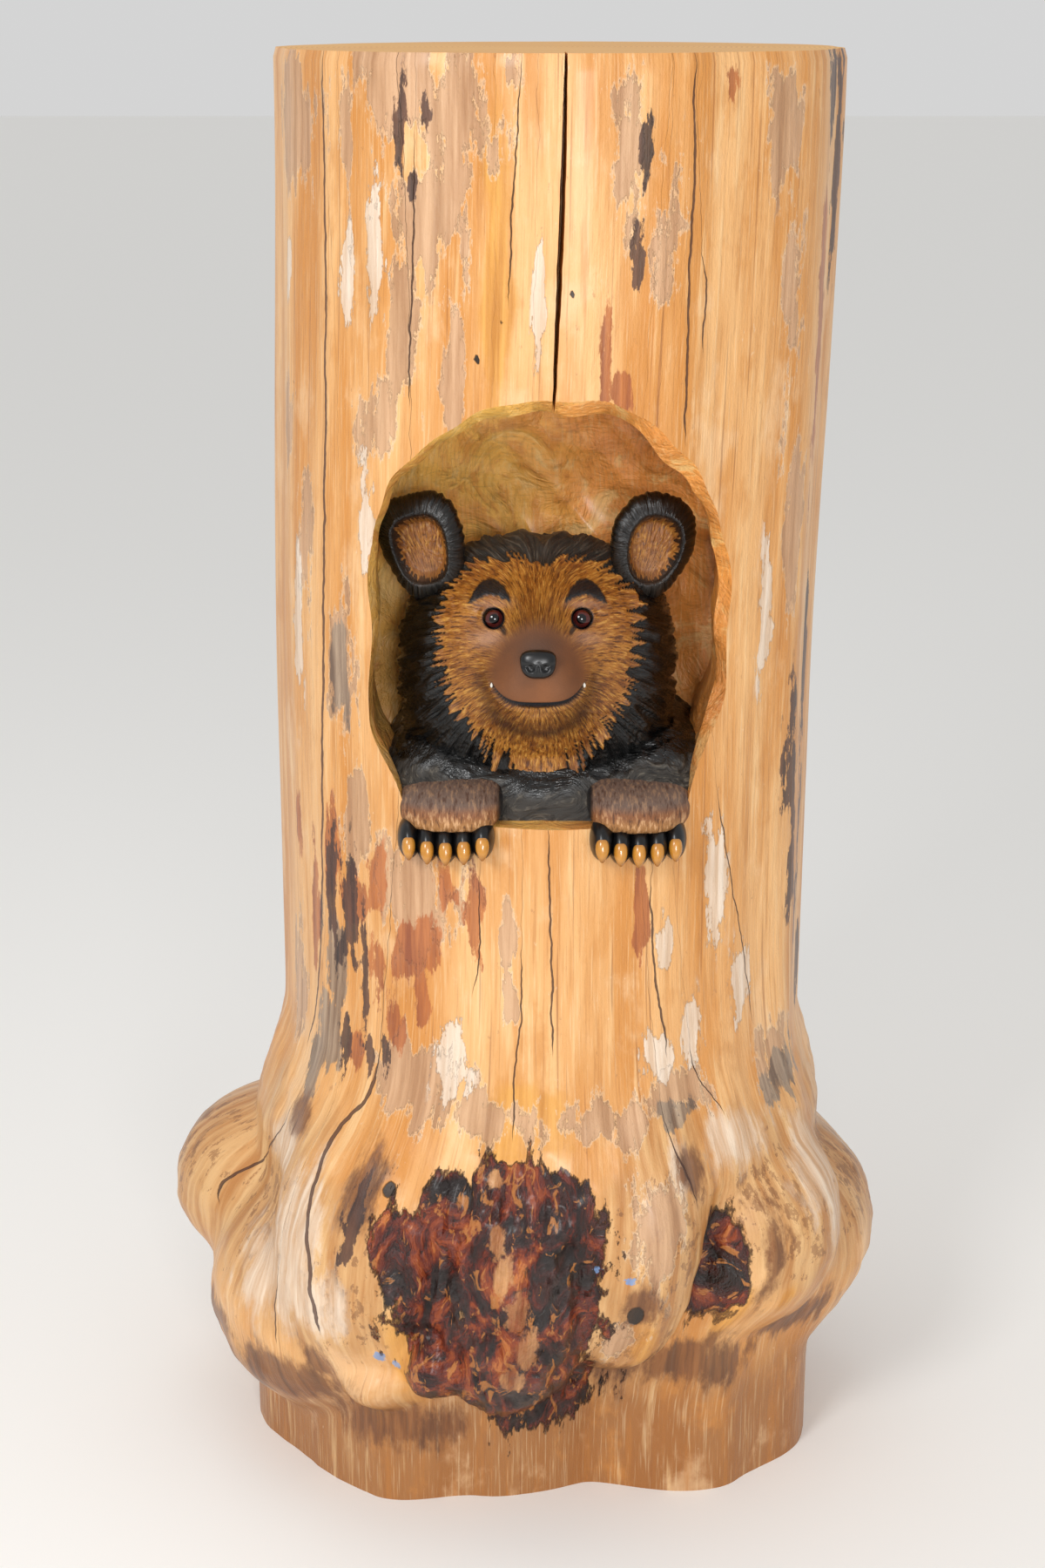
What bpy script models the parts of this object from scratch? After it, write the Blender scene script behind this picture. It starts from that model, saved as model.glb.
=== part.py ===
"""A bear leaning out of a niche, carved with its paws from one burled log, with two glass eyes.

Metres, +Z up. The origin is on the flat underside, below the middle of the log's foot.
The niche faces -Y, and bearings round the log are counted from -Y towards +X.
"""

import math

import bmesh
import bpy
from mathutils import Matrix, Vector

# The log
LOG_HEIGHT = 1.42
TRUNK_RADIUS = 0.266
TRUNK_LEAN = 0.036
FOOT_TOP = 0.070
BURL_TOP = 0.480
FLARE = 0.030
FLUTE_DEPTH = 0.005
LOG_SIDES = 56
BURL_RINGS = 20
TRUNK_RINGS = 5

# The foot's plan: bearing in degrees, and radius as a share of the trunk's
FOOT_PLAN = (
    (-110, 1.098),
    (-82, 1.086),
    (-55, 0.989),
    (-36, 0.981),
    (-12, 0.816),
    (18, 0.748),
    (50, 1.075),
    (70, 1.173),
    (100, 1.128),
    (140, 0.985),
    (180, 0.940),
    (215, 1.008),
    (250, 1.098),
)

# The burl's lobes: bearing in degrees, height, reach from the axis, half-width and half-height. Heights
# are shares of the burl's own, reaches and widths of the trunk's radius.
LOBE_DEPTH = 0.130
BURL_BLEND = 30
BURL_LOBES = {
    "left_shelf": (-98, 0.513, 1.462, 0.451, 0.210),
    "left_belly": (-70, 0.375, 1.293, 0.564, 0.281),
    "left_front": (-42, 0.573, 1.271, 0.432, 0.333),
    "dark_burl": (-5, 0.546, 1.203, 0.357, 0.344),
    "right_front": (23, 0.604, 1.211, 0.282, 0.312),
    "right_shelf": (58, 0.558, 1.316, 0.432, 0.246),
    "right_belly": (90, 0.427, 1.383, 0.564, 0.260),
    "back_right": (142, 0.490, 1.271, 0.602, 0.292),
    "back_left": (-148, 0.552, 1.297, 0.602, 0.312),
    "gold_knob": (-20, 0.365, 1.150, 0.169, 0.115),
    "low_knob": (-34, 0.292, 1.139, 0.207, 0.094),
}
KNOT_BEARING = 37.5
KNOT_HEIGHT = 0.270
KNOT_HALF_WIDTH = 0.016
KNOT_HALF_HEIGHT = 0.062
KNOT_DEPTH = 0.030

# The drying check that runs from the top edge into the niche
CHECK_TOP_X = 0.036
CHECK_FOOT_X = 0.028
CHECK_WIDTH = 0.005
CHECK_DEPTH = 0.060

# The niche
NICHE_X = 0.025
NICHE_WIDTH = 0.330
SILL_HEIGHT = 0.735
NICHE_HEIGHT = 0.393
NICHE_DEPTH = 0.215
NICHE_SHOULDER = 0.45
NICHE_DISH = 0.035
LIP_WIDTH = 0.009
LIP_SWING = 0.5
LIP_WIDEST = math.radians(35)
LIP_DEPTH = 0.014
NICHE_SIDES = 36

# The bear
BEAR_X = 0.014
HEAD_HEIGHT = 0.865
HEAD_SETBACK = 0.135
HEAD_TILT = math.radians(12)
HEAD_WIDTH = 0.255
LOCK_DEPTH = 0.016
HEAD_SIDES = 52
HEAD_RINGS = 18
EAR_SPREAD = 0.113
EAR_RISE = 0.110
EAR_HALF_WIDTH = 0.043
EAR_HALF_HEIGHT = 0.052
EAR_THICKNESS = 0.036
EAR_LEAN = math.radians(14)
EAR_TURN = math.radians(12)
CHEST_SETBACK = 0.028
CHEST_HALF_HEIGHT = 0.100
PAW_SPREAD = 0.089
PAW_WIDTH = 0.100
PAW_HEIGHT = 0.044
PAW_PROUD = 0.026
PAW_REACH_BACK = 0.105
TOES = 5
CLAW_LENGTH = 0.025
CLAW_LEAN = math.radians(14)
EYE_SPREAD = 0.040
EYE_RISE = 0.038
EYE_RADIUS = 0.011
EYE_PROUD = 0.005
SOCKET_GAP = 0.0005
NOSE_RISE = -0.001
NOSE_WIDTH = 0.032
NOSE_HEIGHT = 0.026
NOSE_PROUD = 0.009
MOUTH_HALF_WIDTH = 0.043
MOUTH_DEPTH = 0.007
MOUTH_GAPE = 0.005

# Paint and finish, as sRGB hex read off the real surfaces
VARNISHED_WOOD = "DDA25C"
EYE_GLASS = "3A1512"


def smoothstep(low, high, value):
    share = min(1.0, max(0.0, (value - low) / (high - low)))
    return share * share * (3 - 2 * share)


def hill(x, z, at_x, at_z, half_x, half_z):
    """A round bump of height 1 at (at_x, at_z)."""
    return math.exp(-(((x - at_x) / half_x) ** 2) - ((z - at_z) / half_z) ** 2)


def linear(channel):
    return channel / 12.92 if channel <= 0.04045 else ((channel + 0.055) / 1.055) ** 2.4


def material(name, colour, roughness, coat=0.0):
    made = bpy.data.materials.new(name)
    made.use_nodes = True
    shader = made.node_tree.nodes["Principled BSDF"]
    channels = [linear(int(colour[i : i + 2], 16) / 255) for i in (0, 2, 4)]
    shader.inputs["Base Color"].default_value = (*channels, 1)
    shader.inputs["Roughness"].default_value = roughness
    shader.inputs["Coat Weight"].default_value = coat
    return made


def keep(name, bm, collection, helper=False):
    """Makes a mesh object of a bmesh. A helper is only cut with or joined into another object."""
    if bm.calc_volume(signed=True) < 0:
        bmesh.ops.reverse_faces(bm, faces=bm.faces)
    mesh = bpy.data.meshes.new(name)
    bm.to_mesh(mesh)
    bm.free()
    made = bpy.data.objects.new(name, mesh)
    collection.objects.link(made)
    if helper:
        made.hide_render = True
        made.display_type = "WIRE"
    return made


def combine(target, operation, tools):
    for tool in tools:
        boolean = target.modifiers.new(tool.name, "BOOLEAN")
        boolean.operation = operation
        boolean.solver = "EXACT"
        boolean.object = tool


def ball(sides, rings):
    """A unit ball whose poles face along Y."""
    bm = bmesh.new()
    bmesh.ops.create_uvsphere(bm, u_segments=sides, v_segments=rings, radius=1)
    bmesh.ops.rotate(bm, verts=bm.verts, matrix=Matrix.Rotation(math.pi / 2, 3, "X"))
    return bm


def lean(z):
    """How far the log's middle stands to the right of the origin at a height."""
    share = z / LOG_HEIGHT
    return TRUNK_LEAN * (0.63 * smoothstep(0.04, 0.33, share) + 0.37 * smoothstep(0.55, 1.0, share))


def lobe_reach(bearing, z, lobe):
    """Where a level ray from the axis leaves a burl lobe, which is an ellipsoid, or 0 if it misses."""
    at = lobe[0]
    height, half_height = lobe[1] * BURL_TOP, lobe[4] * BURL_TOP
    reach, half_width = lobe[2] * TRUNK_RADIUS, lobe[3] * TRUNK_RADIUS
    turn = bearing - math.radians(at)
    centre = reach - LOBE_DEPTH
    a = (math.cos(turn) / LOBE_DEPTH) ** 2 + (math.sin(turn) / half_width) ** 2
    b = -2 * math.cos(turn) * centre / LOBE_DEPTH**2
    c = (centre / LOBE_DEPTH) ** 2 + ((z - height) / half_height) ** 2 - 1
    inside = b * b - 4 * a * c
    return max(0.0, (-b + math.sqrt(inside)) / (2 * a)) if inside > 0 else 0.0


def foot_radius(degrees):
    turned = (degrees + 110) % 360 - 110
    after = next(i for i, (bearing, _) in enumerate(FOOT_PLAN) if bearing > turned)
    (low, radius), (high, next_radius) = FOOT_PLAN[after - 1], FOOT_PLAN[after]
    return TRUNK_RADIUS * (radius + (next_radius - radius) * smoothstep(low, high, turned))


def log_radius(bearing, z):
    """The log's radius at a bearing in radians and a height."""
    foot = foot_radius(math.degrees(bearing))
    flutes = math.sin(7 * bearing + 0.6) + 0.4 * math.sin(19 * bearing)
    flutes += 0.6 * math.sin(12 * bearing + 3 * z / LOG_HEIGHT)
    flare = FLARE * smoothstep(BURL_TOP, 0.72 * BURL_TOP, z)
    trunk = TRUNK_RADIUS + FLUTE_DEPTH * flutes / 2 + flare
    rise = smoothstep(FOOT_TOP, 0.75 * BURL_TOP, z)
    plain = foot + (trunk - foot) * rise
    reaches = [plain] + [lobe_reach(bearing, z, lobe) for lobe in BURL_LOBES.values()]
    radius = sum(r**BURL_BLEND for r in reaches) ** (1 / BURL_BLEND)
    across = (bearing - math.radians(KNOT_BEARING)) * radius
    return radius - KNOT_DEPTH * hill(across, z, 0, KNOT_HEIGHT, KNOT_HALF_WIDTH, KNOT_HALF_HEIGHT)


def front_of_log(x, z):
    """The log's front surface, as y, above a place on the ground plan's X."""
    across = x - lean(z)
    bearing = math.asin(max(-0.95, min(0.95, across / TRUNK_RADIUS)))
    return -log_radius(bearing, z) * math.cos(bearing)


def build_log(collection):
    bm = bmesh.new()
    bmesh.ops.create_cone(bm, cap_ends=True, segments=LOG_SIDES, radius1=1, radius2=1, depth=1)
    upright = [e for e in bm.edges if abs(e.verts[0].co.z - e.verts[1].co.z) > 0.5]
    rings = BURL_RINGS + TRUNK_RINGS
    bmesh.ops.subdivide_edges(bm, edges=upright, cuts=rings - 1, use_grid_fill=True)
    for vert in bm.verts:
        ring = (vert.co.z + 0.5) * rings
        if ring < BURL_RINGS:
            z = BURL_TOP * ring / BURL_RINGS
        else:
            z = BURL_TOP + (LOG_HEIGHT - BURL_TOP) * (ring - BURL_RINGS) / TRUNK_RINGS
        # The columns of faces stand closer together on the carved front than behind.
        turn = math.atan2(vert.co.x, -vert.co.y)
        bearing = turn - 0.35 * math.sin(turn)
        radius = log_radius(bearing, z)
        vert.co = (lean(z) + radius * math.sin(bearing), -radius * math.cos(bearing), z)
    return keep("carved_log", bm, collection)


def niche_outline(angle):
    """The niche's edge, as x and z from the niche's middle, at an angle counted from +X."""
    across, up = math.cos(angle), math.sin(angle)
    power = 2.25 if up > 0 else 12.0
    half_width, half_height = NICHE_WIDTH / 2, NICHE_HEIGHT / 2
    size = (abs(across / half_width) ** power + abs(up / half_height) ** power) ** (-1 / power)
    x, z = size * across, size * up
    narrowing = 1 - 0.19 * smoothstep(-0.4, -0.9, z / half_height)
    ripple = 1 + 0.012 * math.sin(5 * angle + 1) + 0.008 * math.sin(11 * angle)
    return x * narrowing * ripple, z * (ripple if up > 0 else 1)


def niche_cutter(collection):
    """The hollow, as a closed shape: a dished back, straight walls, and a lip that flares out of the log."""
    stations = (
        (0.0, "back"),
        (0.35, "back"),
        (0.65, "back"),
        (0.86, "back"),
        (1.0, "corner"),
        (1.0, "wall"),
        (1.0, "lip_foot"),
        (1.0, "outside"),
        (0.0, "front"),
    )
    back = -TRUNK_RADIUS + NICHE_DEPTH
    middle_z = SILL_HEIGHT + NICHE_HEIGHT / 2
    bm = ball(NICHE_SIDES, len(stations) - 1)
    for vert in bm.verts:
        # The ball's rings, counted from its +Y pole, become the stations.
        ring = round(math.acos(max(-1, min(1, vert.co.y))) / math.pi * (len(stations) - 1))
        share, kind = stations[ring]
        angle = math.atan2(vert.co.z, vert.co.x)
        edge_x, edge_z = niche_outline(angle)
        # The lip is widest at the upper right and dies out at the sill.
        lip = LIP_WIDTH * (1 + LIP_SWING * math.cos(angle - LIP_WIDEST))
        lip *= smoothstep(-0.9, -0.5, math.sin(angle))
        inset = {"outside": -2 * lip, "front": 0.0}.get(kind, lip)
        size = share * (1 - inset / math.hypot(edge_x, edge_z))
        x, z = NICHE_X + edge_x * size, middle_z + edge_z * size
        face = front_of_log(NICHE_X + edge_x, middle_z + edge_z)
        corner = back - NICHE_DISH
        y = {
            "back": back - NICHE_DISH * share**3,
            "corner": corner,
            "wall": corner + NICHE_SHOULDER * (face - corner),
            "lip_foot": face + LIP_DEPTH,
            "outside": face - 2 * LIP_DEPTH,
            "front": -1.4 * TRUNK_RADIUS,
        }[kind]
        vert.co = (x, y, z)
    return keep("niche_cutter", bm, collection, helper=True)


def check_cutter(collection):
    """The drying check: a wedge, widest a third of the way down, from above the top to inside the niche."""
    bm = bmesh.new()
    bmesh.ops.create_cube(bm, size=1)
    upright = [e for e in bm.edges if abs(e.verts[0].co.z - e.verts[1].co.z) > 0.5]
    bmesh.ops.subdivide_edges(bm, edges=upright, cuts=5, use_grid_fill=True)
    low = SILL_HEIGHT + 0.95 * NICHE_HEIGHT
    high = LOG_HEIGHT + 2 * CHECK_WIDTH
    for vert in bm.verts:
        share = vert.co.z + 0.5
        z = low + (high - low) * share
        gape = 0.45 + 0.55 * math.sin(math.pi * share)
        inside = vert.co.y > 0
        half = CHECK_WIDTH / 2 * gape * (0.15 if inside else 1.4)
        middle = CHECK_FOOT_X + (CHECK_TOP_X - CHECK_FOOT_X) * share
        middle += 0.3 * CHECK_WIDTH * math.sin(15 * z / LOG_HEIGHT)
        depth = CHECK_DEPTH if inside else -CHECK_DEPTH / 2
        vert.co = (middle + half * math.copysign(1, vert.co.x), depth - TRUNK_RADIUS, z)
    return keep("check_cutter", bm, collection, helper=True)


def head_to_world():
    """The head's own axes: X to the right, -Y out of the face, Z to the crown, tilted to look up."""
    return Matrix.Translation((BEAR_X, -HEAD_SETBACK, HEAD_HEIGHT)) @ Matrix.Rotation(-HEAD_TILT, 4, "X")


def smile(x):
    """The height of the mouth's line, in head widths."""
    return -0.160 + 0.085 * (abs(x) / 0.17) ** 2.4


def face_relief(x, z):
    """How far the face stands proud of the skull's ellipsoid; all in head widths."""
    above = smoothstep(-0.10, 0.10, z)
    snout = math.hypot(x / (0.172 - 0.045 * above), (z + 0.075) / (0.170 + 0.080 * above))
    relief = 0.205 / (1 + snout ** (5.5 - 2.3 * above))
    relief += 0.014 * hill(x, z, 0, -0.205, 0.12, 0.03)
    for side in (-1, 1):
        relief += 0.012 * hill(x, z, side * 0.09, -0.105, 0.06, 0.05)
        relief += 0.030 * hill(x, z, side * 0.28, -0.10, 0.13, 0.16)
        relief += 0.024 * hill(x, z, side * 0.17, 0.235, 0.085, 0.04)
        relief -= 0.032 * hill(x, z, side * 0.160, 0.150, 0.055, 0.05)
        relief += 0.016 * hill(x, z, side * 0.166, 0.095, 0.06, 0.02)
    return relief


def face_shift(tilt):
    """How far the snout's middle hangs below the skull's, in head widths, fading out towards the mane."""
    return -0.07 * max(0.0, math.cos(tilt)) ** 2


def skin(x, z):
    """The face's surface at a place in the head's own axes, as y."""
    tilt = 0.3
    for _ in range(8):
        across = x / HEAD_WIDTH / 0.5
        up = (z / HEAD_WIDTH - face_shift(tilt)) / 0.45
        tilt = math.asin(min(1.0, (abs(across) ** 2.3 + abs(up) ** 2.3) ** (1 / 2.3)))
    return -HEAD_WIDTH * (0.37 * math.cos(tilt) + face_relief(x / HEAD_WIDTH, z / HEAD_WIDTH))


def head_point(tilt, around):
    """A point of the head in its own axes, from its angle off the snout's tip and its angle around it."""
    power = 2.3 if math.sin(around) > 0 else 2.3 + 1.3 * smoothstep(0.6, 1.2, tilt)
    square = (abs(math.cos(around)) ** power + abs(math.sin(around)) ** power) ** (-1 / power)
    size = HEAD_WIDTH * math.sin(tilt) * square
    x = 0.5 * size * math.cos(around)
    z = 0.45 * size * math.sin(around) + HEAD_WIDTH * face_shift(tilt)
    y = -0.37 * HEAD_WIDTH * math.cos(tilt)
    if tilt < math.pi / 2:
        y -= HEAD_WIDTH * face_relief(x / HEAD_WIDTH, z / HEAD_WIDTH)
    # Locks of the ruff: ridges that stream away from the face, deepest at its edge.
    ruff = smoothstep(0.80, 1.1, tilt) * smoothstep(2.4, 1.6, tilt) * (0.75 - 0.35 * math.sin(around))
    lock = 1 if round(around / (2 * math.pi) * HEAD_SIDES) % 2 else -1
    swell = 1 + LOCK_DEPTH * ruff * lock
    return Vector((x * swell, y - HEAD_WIDTH * LOCK_DEPTH * ruff * lock / 2, z * swell))


def build_head(collection):
    bm = ball(HEAD_SIDES, HEAD_RINGS)
    for vert in bm.verts:
        share = math.acos(max(-1, min(1, -vert.co.y))) / math.pi
        tilt = math.pi * (0.36 * share + 0.64 * share**2.1)
        vert.co = head_point(tilt, math.atan2(vert.co.z, vert.co.x))
    bmesh.ops.transform(bm, verts=bm.verts, matrix=head_to_world())
    return keep("bear_head", bm, collection, helper=True)


def build_nose(collection):
    """The nose pad, a rounded block wider above than below."""
    bm = ball(14, 8)
    for vert in bm.verts:
        x, y, z = (math.copysign(abs(c) ** 0.7, c) for c in vert.co)
        at_x = NOSE_WIDTH / 2 * x * (1 + 0.12 * z)
        at_z = NOSE_RISE + NOSE_HEIGHT / 2 * z
        vert.co = (at_x, skin(0, NOSE_RISE) + NOSE_PROUD * (y - 0.1), at_z)
    bmesh.ops.transform(bm, verts=bm.verts, matrix=head_to_world())
    return keep("nose", bm, collection, helper=True)


def mouth_cutter(collection):
    """The gap of the mouth, a thin lens bent along the smile and round the snout."""
    bm = ball(20, 6)
    for vert in bm.verts:
        x = MOUTH_HALF_WIDTH * vert.co.x
        z = HEAD_WIDTH * smile(x / HEAD_WIDTH) + MOUTH_GAPE / 2 * vert.co.z
        vert.co = (x, skin(x, z) + MOUTH_DEPTH * vert.co.y, z)
    bmesh.ops.transform(bm, verts=bm.verts, matrix=head_to_world())
    return keep("mouth", bm, collection, helper=True)


def build_ear(side, collection):
    """A cupped ear: a ball flattened front to back, its front hollowed inside a thick rim."""
    bm = ball(20, 11)
    for vert in bm.verts:
        x, y, z = vert.co
        off_centre = math.hypot(x, z)
        cup = 0.95 * (1 - smoothstep(0.40, 0.76, off_centre)) if y < 0 else 0.0
        depth = EAR_THICKNESS / 2 * (y + cup)
        around = math.atan2(z, x)
        square = (abs(math.cos(around)) ** 2.6 + abs(math.sin(around)) ** 2.6) ** (-1 / 2.6)
        vert.co = (EAR_HALF_WIDTH * x * square, depth, EAR_HALF_HEIGHT * z * square)
    turn = Matrix.Rotation(side * EAR_LEAN, 4, "Y") @ Matrix.Rotation(side * EAR_TURN, 4, "Z")
    y = 0.22 * EAR_THICKNESS - HEAD_SETBACK
    place = Matrix.Translation((BEAR_X + side * EAR_SPREAD, y, HEAD_HEIGHT + EAR_RISE))
    bmesh.ops.transform(bm, verts=bm.verts, matrix=place @ turn)
    return keep("bear_ear_" + ("left" if side < 0 else "right"), bm, collection, helper=True)


def build_chest(collection):
    """Chest and shoulders, filling the niche from wall to wall above the sill."""
    bm = ball(28, 8)
    front = front_of_log(NICHE_X, SILL_HEIGHT) + CHEST_SETBACK
    half_depth = (-TRUNK_RADIUS + NICHE_DEPTH - front) / 2 + NICHE_DISH / 2
    for vert in bm.verts:
        x, y, z = (math.copysign(abs(c) ** 0.55, c) for c in vert.co)
        hunch = 0.22 * hill(abs(x), 0, 0.72, 0, 0.3, 1) + 0.25 * max(0.0, y) if z > 0 else 0
        vert.co = (
            NICHE_X + NICHE_WIDTH * 0.5 * x,
            front + half_depth * (1 + y) + 0.12 * CHEST_HALF_HEIGHT * max(0.0, z),
            SILL_HEIGHT + CHEST_HALF_HEIGHT * (z * (0.7 + hunch) - 0.12),
        )
    return keep("bear_chest", bm, collection, helper=True)


def paw_front(x):
    return front_of_log(x, SILL_HEIGHT) - PAW_PROUD


def build_paw(side, collection):
    """A paw laid over the sill: its back is one rounded pad, with a row of toes and claws below."""
    middle = NICHE_X + side * PAW_SPREAD
    name = "left" if side < 0 else "right"
    base = SILL_HEIGHT - 0.19 * PAW_HEIGHT
    bm = ball(20, 8)
    for vert in bm.verts:
        x, y, z = (math.copysign(abs(c) ** 0.62, c) for c in vert.co)
        at_x = middle + PAW_WIDTH / 2 * x
        y_front = paw_front(at_x) + 0.38 * PAW_PROUD * abs(x) ** 3
        vert.co = (
            at_x,
            y_front + PAW_REACH_BACK * (1 + y) / 2 + 0.27 * PAW_HEIGHT * max(0.0, z),
            base + PAW_HEIGHT * ((1 + z) / 2 - 0.09 * x * side),
        )
    paw = keep("paw_" + name, bm, collection, helper=True)
    toes = []
    pitch = PAW_WIDTH / (TOES + 0.15)
    for toe in range(TOES):
        step = toe - (TOES - 1) / 2
        x = middle + pitch * step
        z = base + PAW_HEIGHT * (0.028 * step * step - 0.04 * step * side - 0.22)
        y = paw_front(x)
        toe_ball = ball(8, 6)
        place = Matrix.Translation((x, y + 0.92 * PAW_PROUD, z))
        size = Matrix.Diagonal((pitch * 0.63, 0.94 * PAW_PROUD, 0.48 * PAW_HEIGHT, 1))
        bmesh.ops.transform(toe_ball, verts=toe_ball.verts, matrix=place @ size)
        toes.append(keep(f"toe_{name}_{toe}", toe_ball, collection, helper=True))
        claw = ball(8, 5)
        for vert in claw.verts:
            vert.co = (math.copysign(abs(c) ** 0.8, c) for c in vert.co)
            vert.co.x *= 1 - 0.35 * smoothstep(0.0, -1.0, vert.co.z)
        lie = Matrix.Translation((x, y + 0.15 * PAW_PROUD, z - 0.09 * PAW_HEIGHT))
        lie = lie @ Matrix.Rotation(-CLAW_LEAN, 4, "X")
        size = Matrix.Diagonal((pitch * 0.36, 0.3 * CLAW_LENGTH, CLAW_LENGTH / 2, 1))
        bmesh.ops.transform(claw, verts=claw.verts, matrix=lie @ size)
        toes.append(keep(f"claw_{name}_{toe}", claw, collection, helper=True))
    combine(paw, "UNION", toes)
    return paw


def eye_centre(side):
    """The ball's middle, sunk behind the face so that only its front stands proud."""
    x, z = side * EYE_SPREAD, EYE_RISE
    return head_to_world() @ Vector((x, skin(x, z) + EYE_RADIUS - EYE_PROUD, z))


def build_eye(name, side, radius, collection, helper):
    bm = ball(14, 8)
    place = Matrix.Translation(eye_centre(side)) @ Matrix.Scale(radius, 4)
    bmesh.ops.transform(bm, verts=bm.verts, matrix=place)
    return keep(name, bm, collection, helper)


def main():
    for old in list(bpy.data.objects):
        bpy.data.objects.remove(old)
    parts = bpy.data.collections.new("carved_bear_log")
    helpers = bpy.data.collections.new("cutters_and_joined_forms")
    for collection in (parts, helpers):
        bpy.context.scene.collection.children.link(collection)

    log = build_log(parts)
    combine(log, "DIFFERENCE", [niche_cutter(helpers), check_cutter(helpers)])
    head = build_head(helpers)
    combine(head, "UNION", [build_nose(helpers)])
    combine(head, "DIFFERENCE", [mouth_cutter(helpers)])
    figure = [build_chest(helpers), head]
    for side in (-1, 1):
        figure += [build_ear(side, helpers), build_paw(side, helpers)]
    combine(log, "UNION", figure)
    glass = material("eye_glass", EYE_GLASS, 0.05, 1.0)
    for side, name in ((-1, "left"), (1, "right")):
        socket = build_eye("socket_" + name, side, EYE_RADIUS + SOCKET_GAP, helpers, helper=True)
        combine(log, "DIFFERENCE", [socket])
        eye = build_eye("glass_eye_" + name, side, EYE_RADIUS, parts, helper=False)
        eye.data.materials.append(glass)
        eye.data.shade_smooth()
    log.data.materials.append(material("varnished_pine", VARNISHED_WOOD, 0.35, 0.5))
    log.data.shade_smooth()
    log.data.set_sharp_from_angle(angle=math.radians(50))


main()
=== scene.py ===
"""A bear leaning out of a niche, carved with its paws from one burled log, then painted and varnished.

Metres, +Z up. The niche faces -Y, and bearings round the log are counted from -Y towards +X.
"""

import math
import bmesh
import bpy
from mathutils import Matrix, Vector, noise


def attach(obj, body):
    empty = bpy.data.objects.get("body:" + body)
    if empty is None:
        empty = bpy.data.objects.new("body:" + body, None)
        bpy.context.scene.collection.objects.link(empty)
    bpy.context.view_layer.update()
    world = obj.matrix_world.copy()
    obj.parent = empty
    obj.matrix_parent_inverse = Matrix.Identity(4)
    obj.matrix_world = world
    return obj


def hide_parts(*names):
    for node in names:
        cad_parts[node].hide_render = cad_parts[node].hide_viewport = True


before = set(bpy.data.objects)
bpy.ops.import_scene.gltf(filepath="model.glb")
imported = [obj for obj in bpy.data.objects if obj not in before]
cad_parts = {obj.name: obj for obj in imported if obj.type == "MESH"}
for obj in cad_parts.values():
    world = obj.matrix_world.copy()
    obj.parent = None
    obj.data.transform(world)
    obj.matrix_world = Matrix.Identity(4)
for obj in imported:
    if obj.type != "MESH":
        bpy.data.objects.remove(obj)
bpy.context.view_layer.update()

# The log
#
# One length of a pine trunk with a belt of burl above its foot, peeled by hand and sawn flat at both
# ends. A niche is gouged into its front, and long drying checks have opened down its sides.

LOG_HEIGHT = 1.42
TRUNK_RADIUS = 0.266
TRUNK_LEAN = 0.036
FOOT_TOP = 0.070
BURL_TOP = 0.480
FLARE = 0.030
FLUTE_DEPTH = 0.005
# The foot's plan: bearing in degrees, and radius as a share of the trunk's
FOOT_PLAN = (
    (-110, 1.098),
    (-82, 1.086),
    (-55, 0.989),
    (-36, 0.981),
    (-12, 0.816),
    (18, 0.748),
    (50, 1.075),
    (70, 1.173),
    (100, 1.128),
    (140, 0.985),
    (180, 0.940),
    (215, 1.008),
    (250, 1.098),
)
LOBE_DEPTH = 0.130
BURL_BLEND = 30
# The burl's lobes: bearing in degrees, height, reach, half-width and half-height; the heights are
# shares of BURL_TOP and the widths and reaches of TRUNK_RADIUS
BURL_LOBES = (
    (-98, 0.513, 1.462, 0.451, 0.210),
    (-70, 0.375, 1.293, 0.564, 0.281),
    (-42, 0.573, 1.271, 0.432, 0.333),
    (-5, 0.546, 1.203, 0.357, 0.344),
    (23, 0.604, 1.211, 0.282, 0.312),
    (58, 0.558, 1.316, 0.432, 0.246),
    (90, 0.427, 1.383, 0.564, 0.260),
    (142, 0.490, 1.271, 0.602, 0.292),
    (-148, 0.552, 1.297, 0.602, 0.312),
    (-20, 0.365, 1.150, 0.169, 0.115),
    (-34, 0.292, 1.139, 0.207, 0.094),
)
KNOT_BEARING = 37.5
KNOT_HEIGHT = 0.270
KNOT_HALF_WIDTH = 0.016
KNOT_HALF_HEIGHT = 0.062
KNOT_DEPTH = 0.030
CHECK_TOP_X = 0.036
CHECK_FOOT_X = 0.028
CHECK_WIDTH = 0.005
CHECK_DEPTH = 0.060
NICHE_X = 0.025
NICHE_WIDTH = 0.330
SILL_HEIGHT = 0.735
NICHE_HEIGHT = 0.393
NICHE_DEPTH = 0.215
NICHE_DISH = 0.035
LIP_WIDTH = 0.009
LIP_SWING = 0.5
LIP_DEPTH = 0.014
LOG_SIDES = 320
LOG_RINGS = 230
NICHE_SIDES = 240


def smoothstep(low, high, value):
    share = min(1.0, max(0.0, (value - low) / (high - low)))
    return share * share * (3 - 2 * share)


def hill(x, z, at_x, at_z, half_x, half_z):
    """A round bump of height 1 at (at_x, at_z)."""
    return math.exp(-(((x - at_x) / half_x) ** 2) - ((z - at_z) / half_z) ** 2)


def keep(name, bm, *finishes):
    """Makes a smooth piece of a bmesh, with its faces outwards."""
    if bm.calc_volume(signed=True) < 0:
        bmesh.ops.reverse_faces(bm, faces=bm.faces)
    mesh = bpy.data.meshes.new(name)
    bm.to_mesh(mesh)
    bm.free()
    mesh.shade_smooth()
    for coat in finishes:
        mesh.materials.append(coat)
    piece = bpy.data.objects.new(name, mesh)
    bpy.context.scene.collection.objects.link(piece)
    return piece


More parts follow.
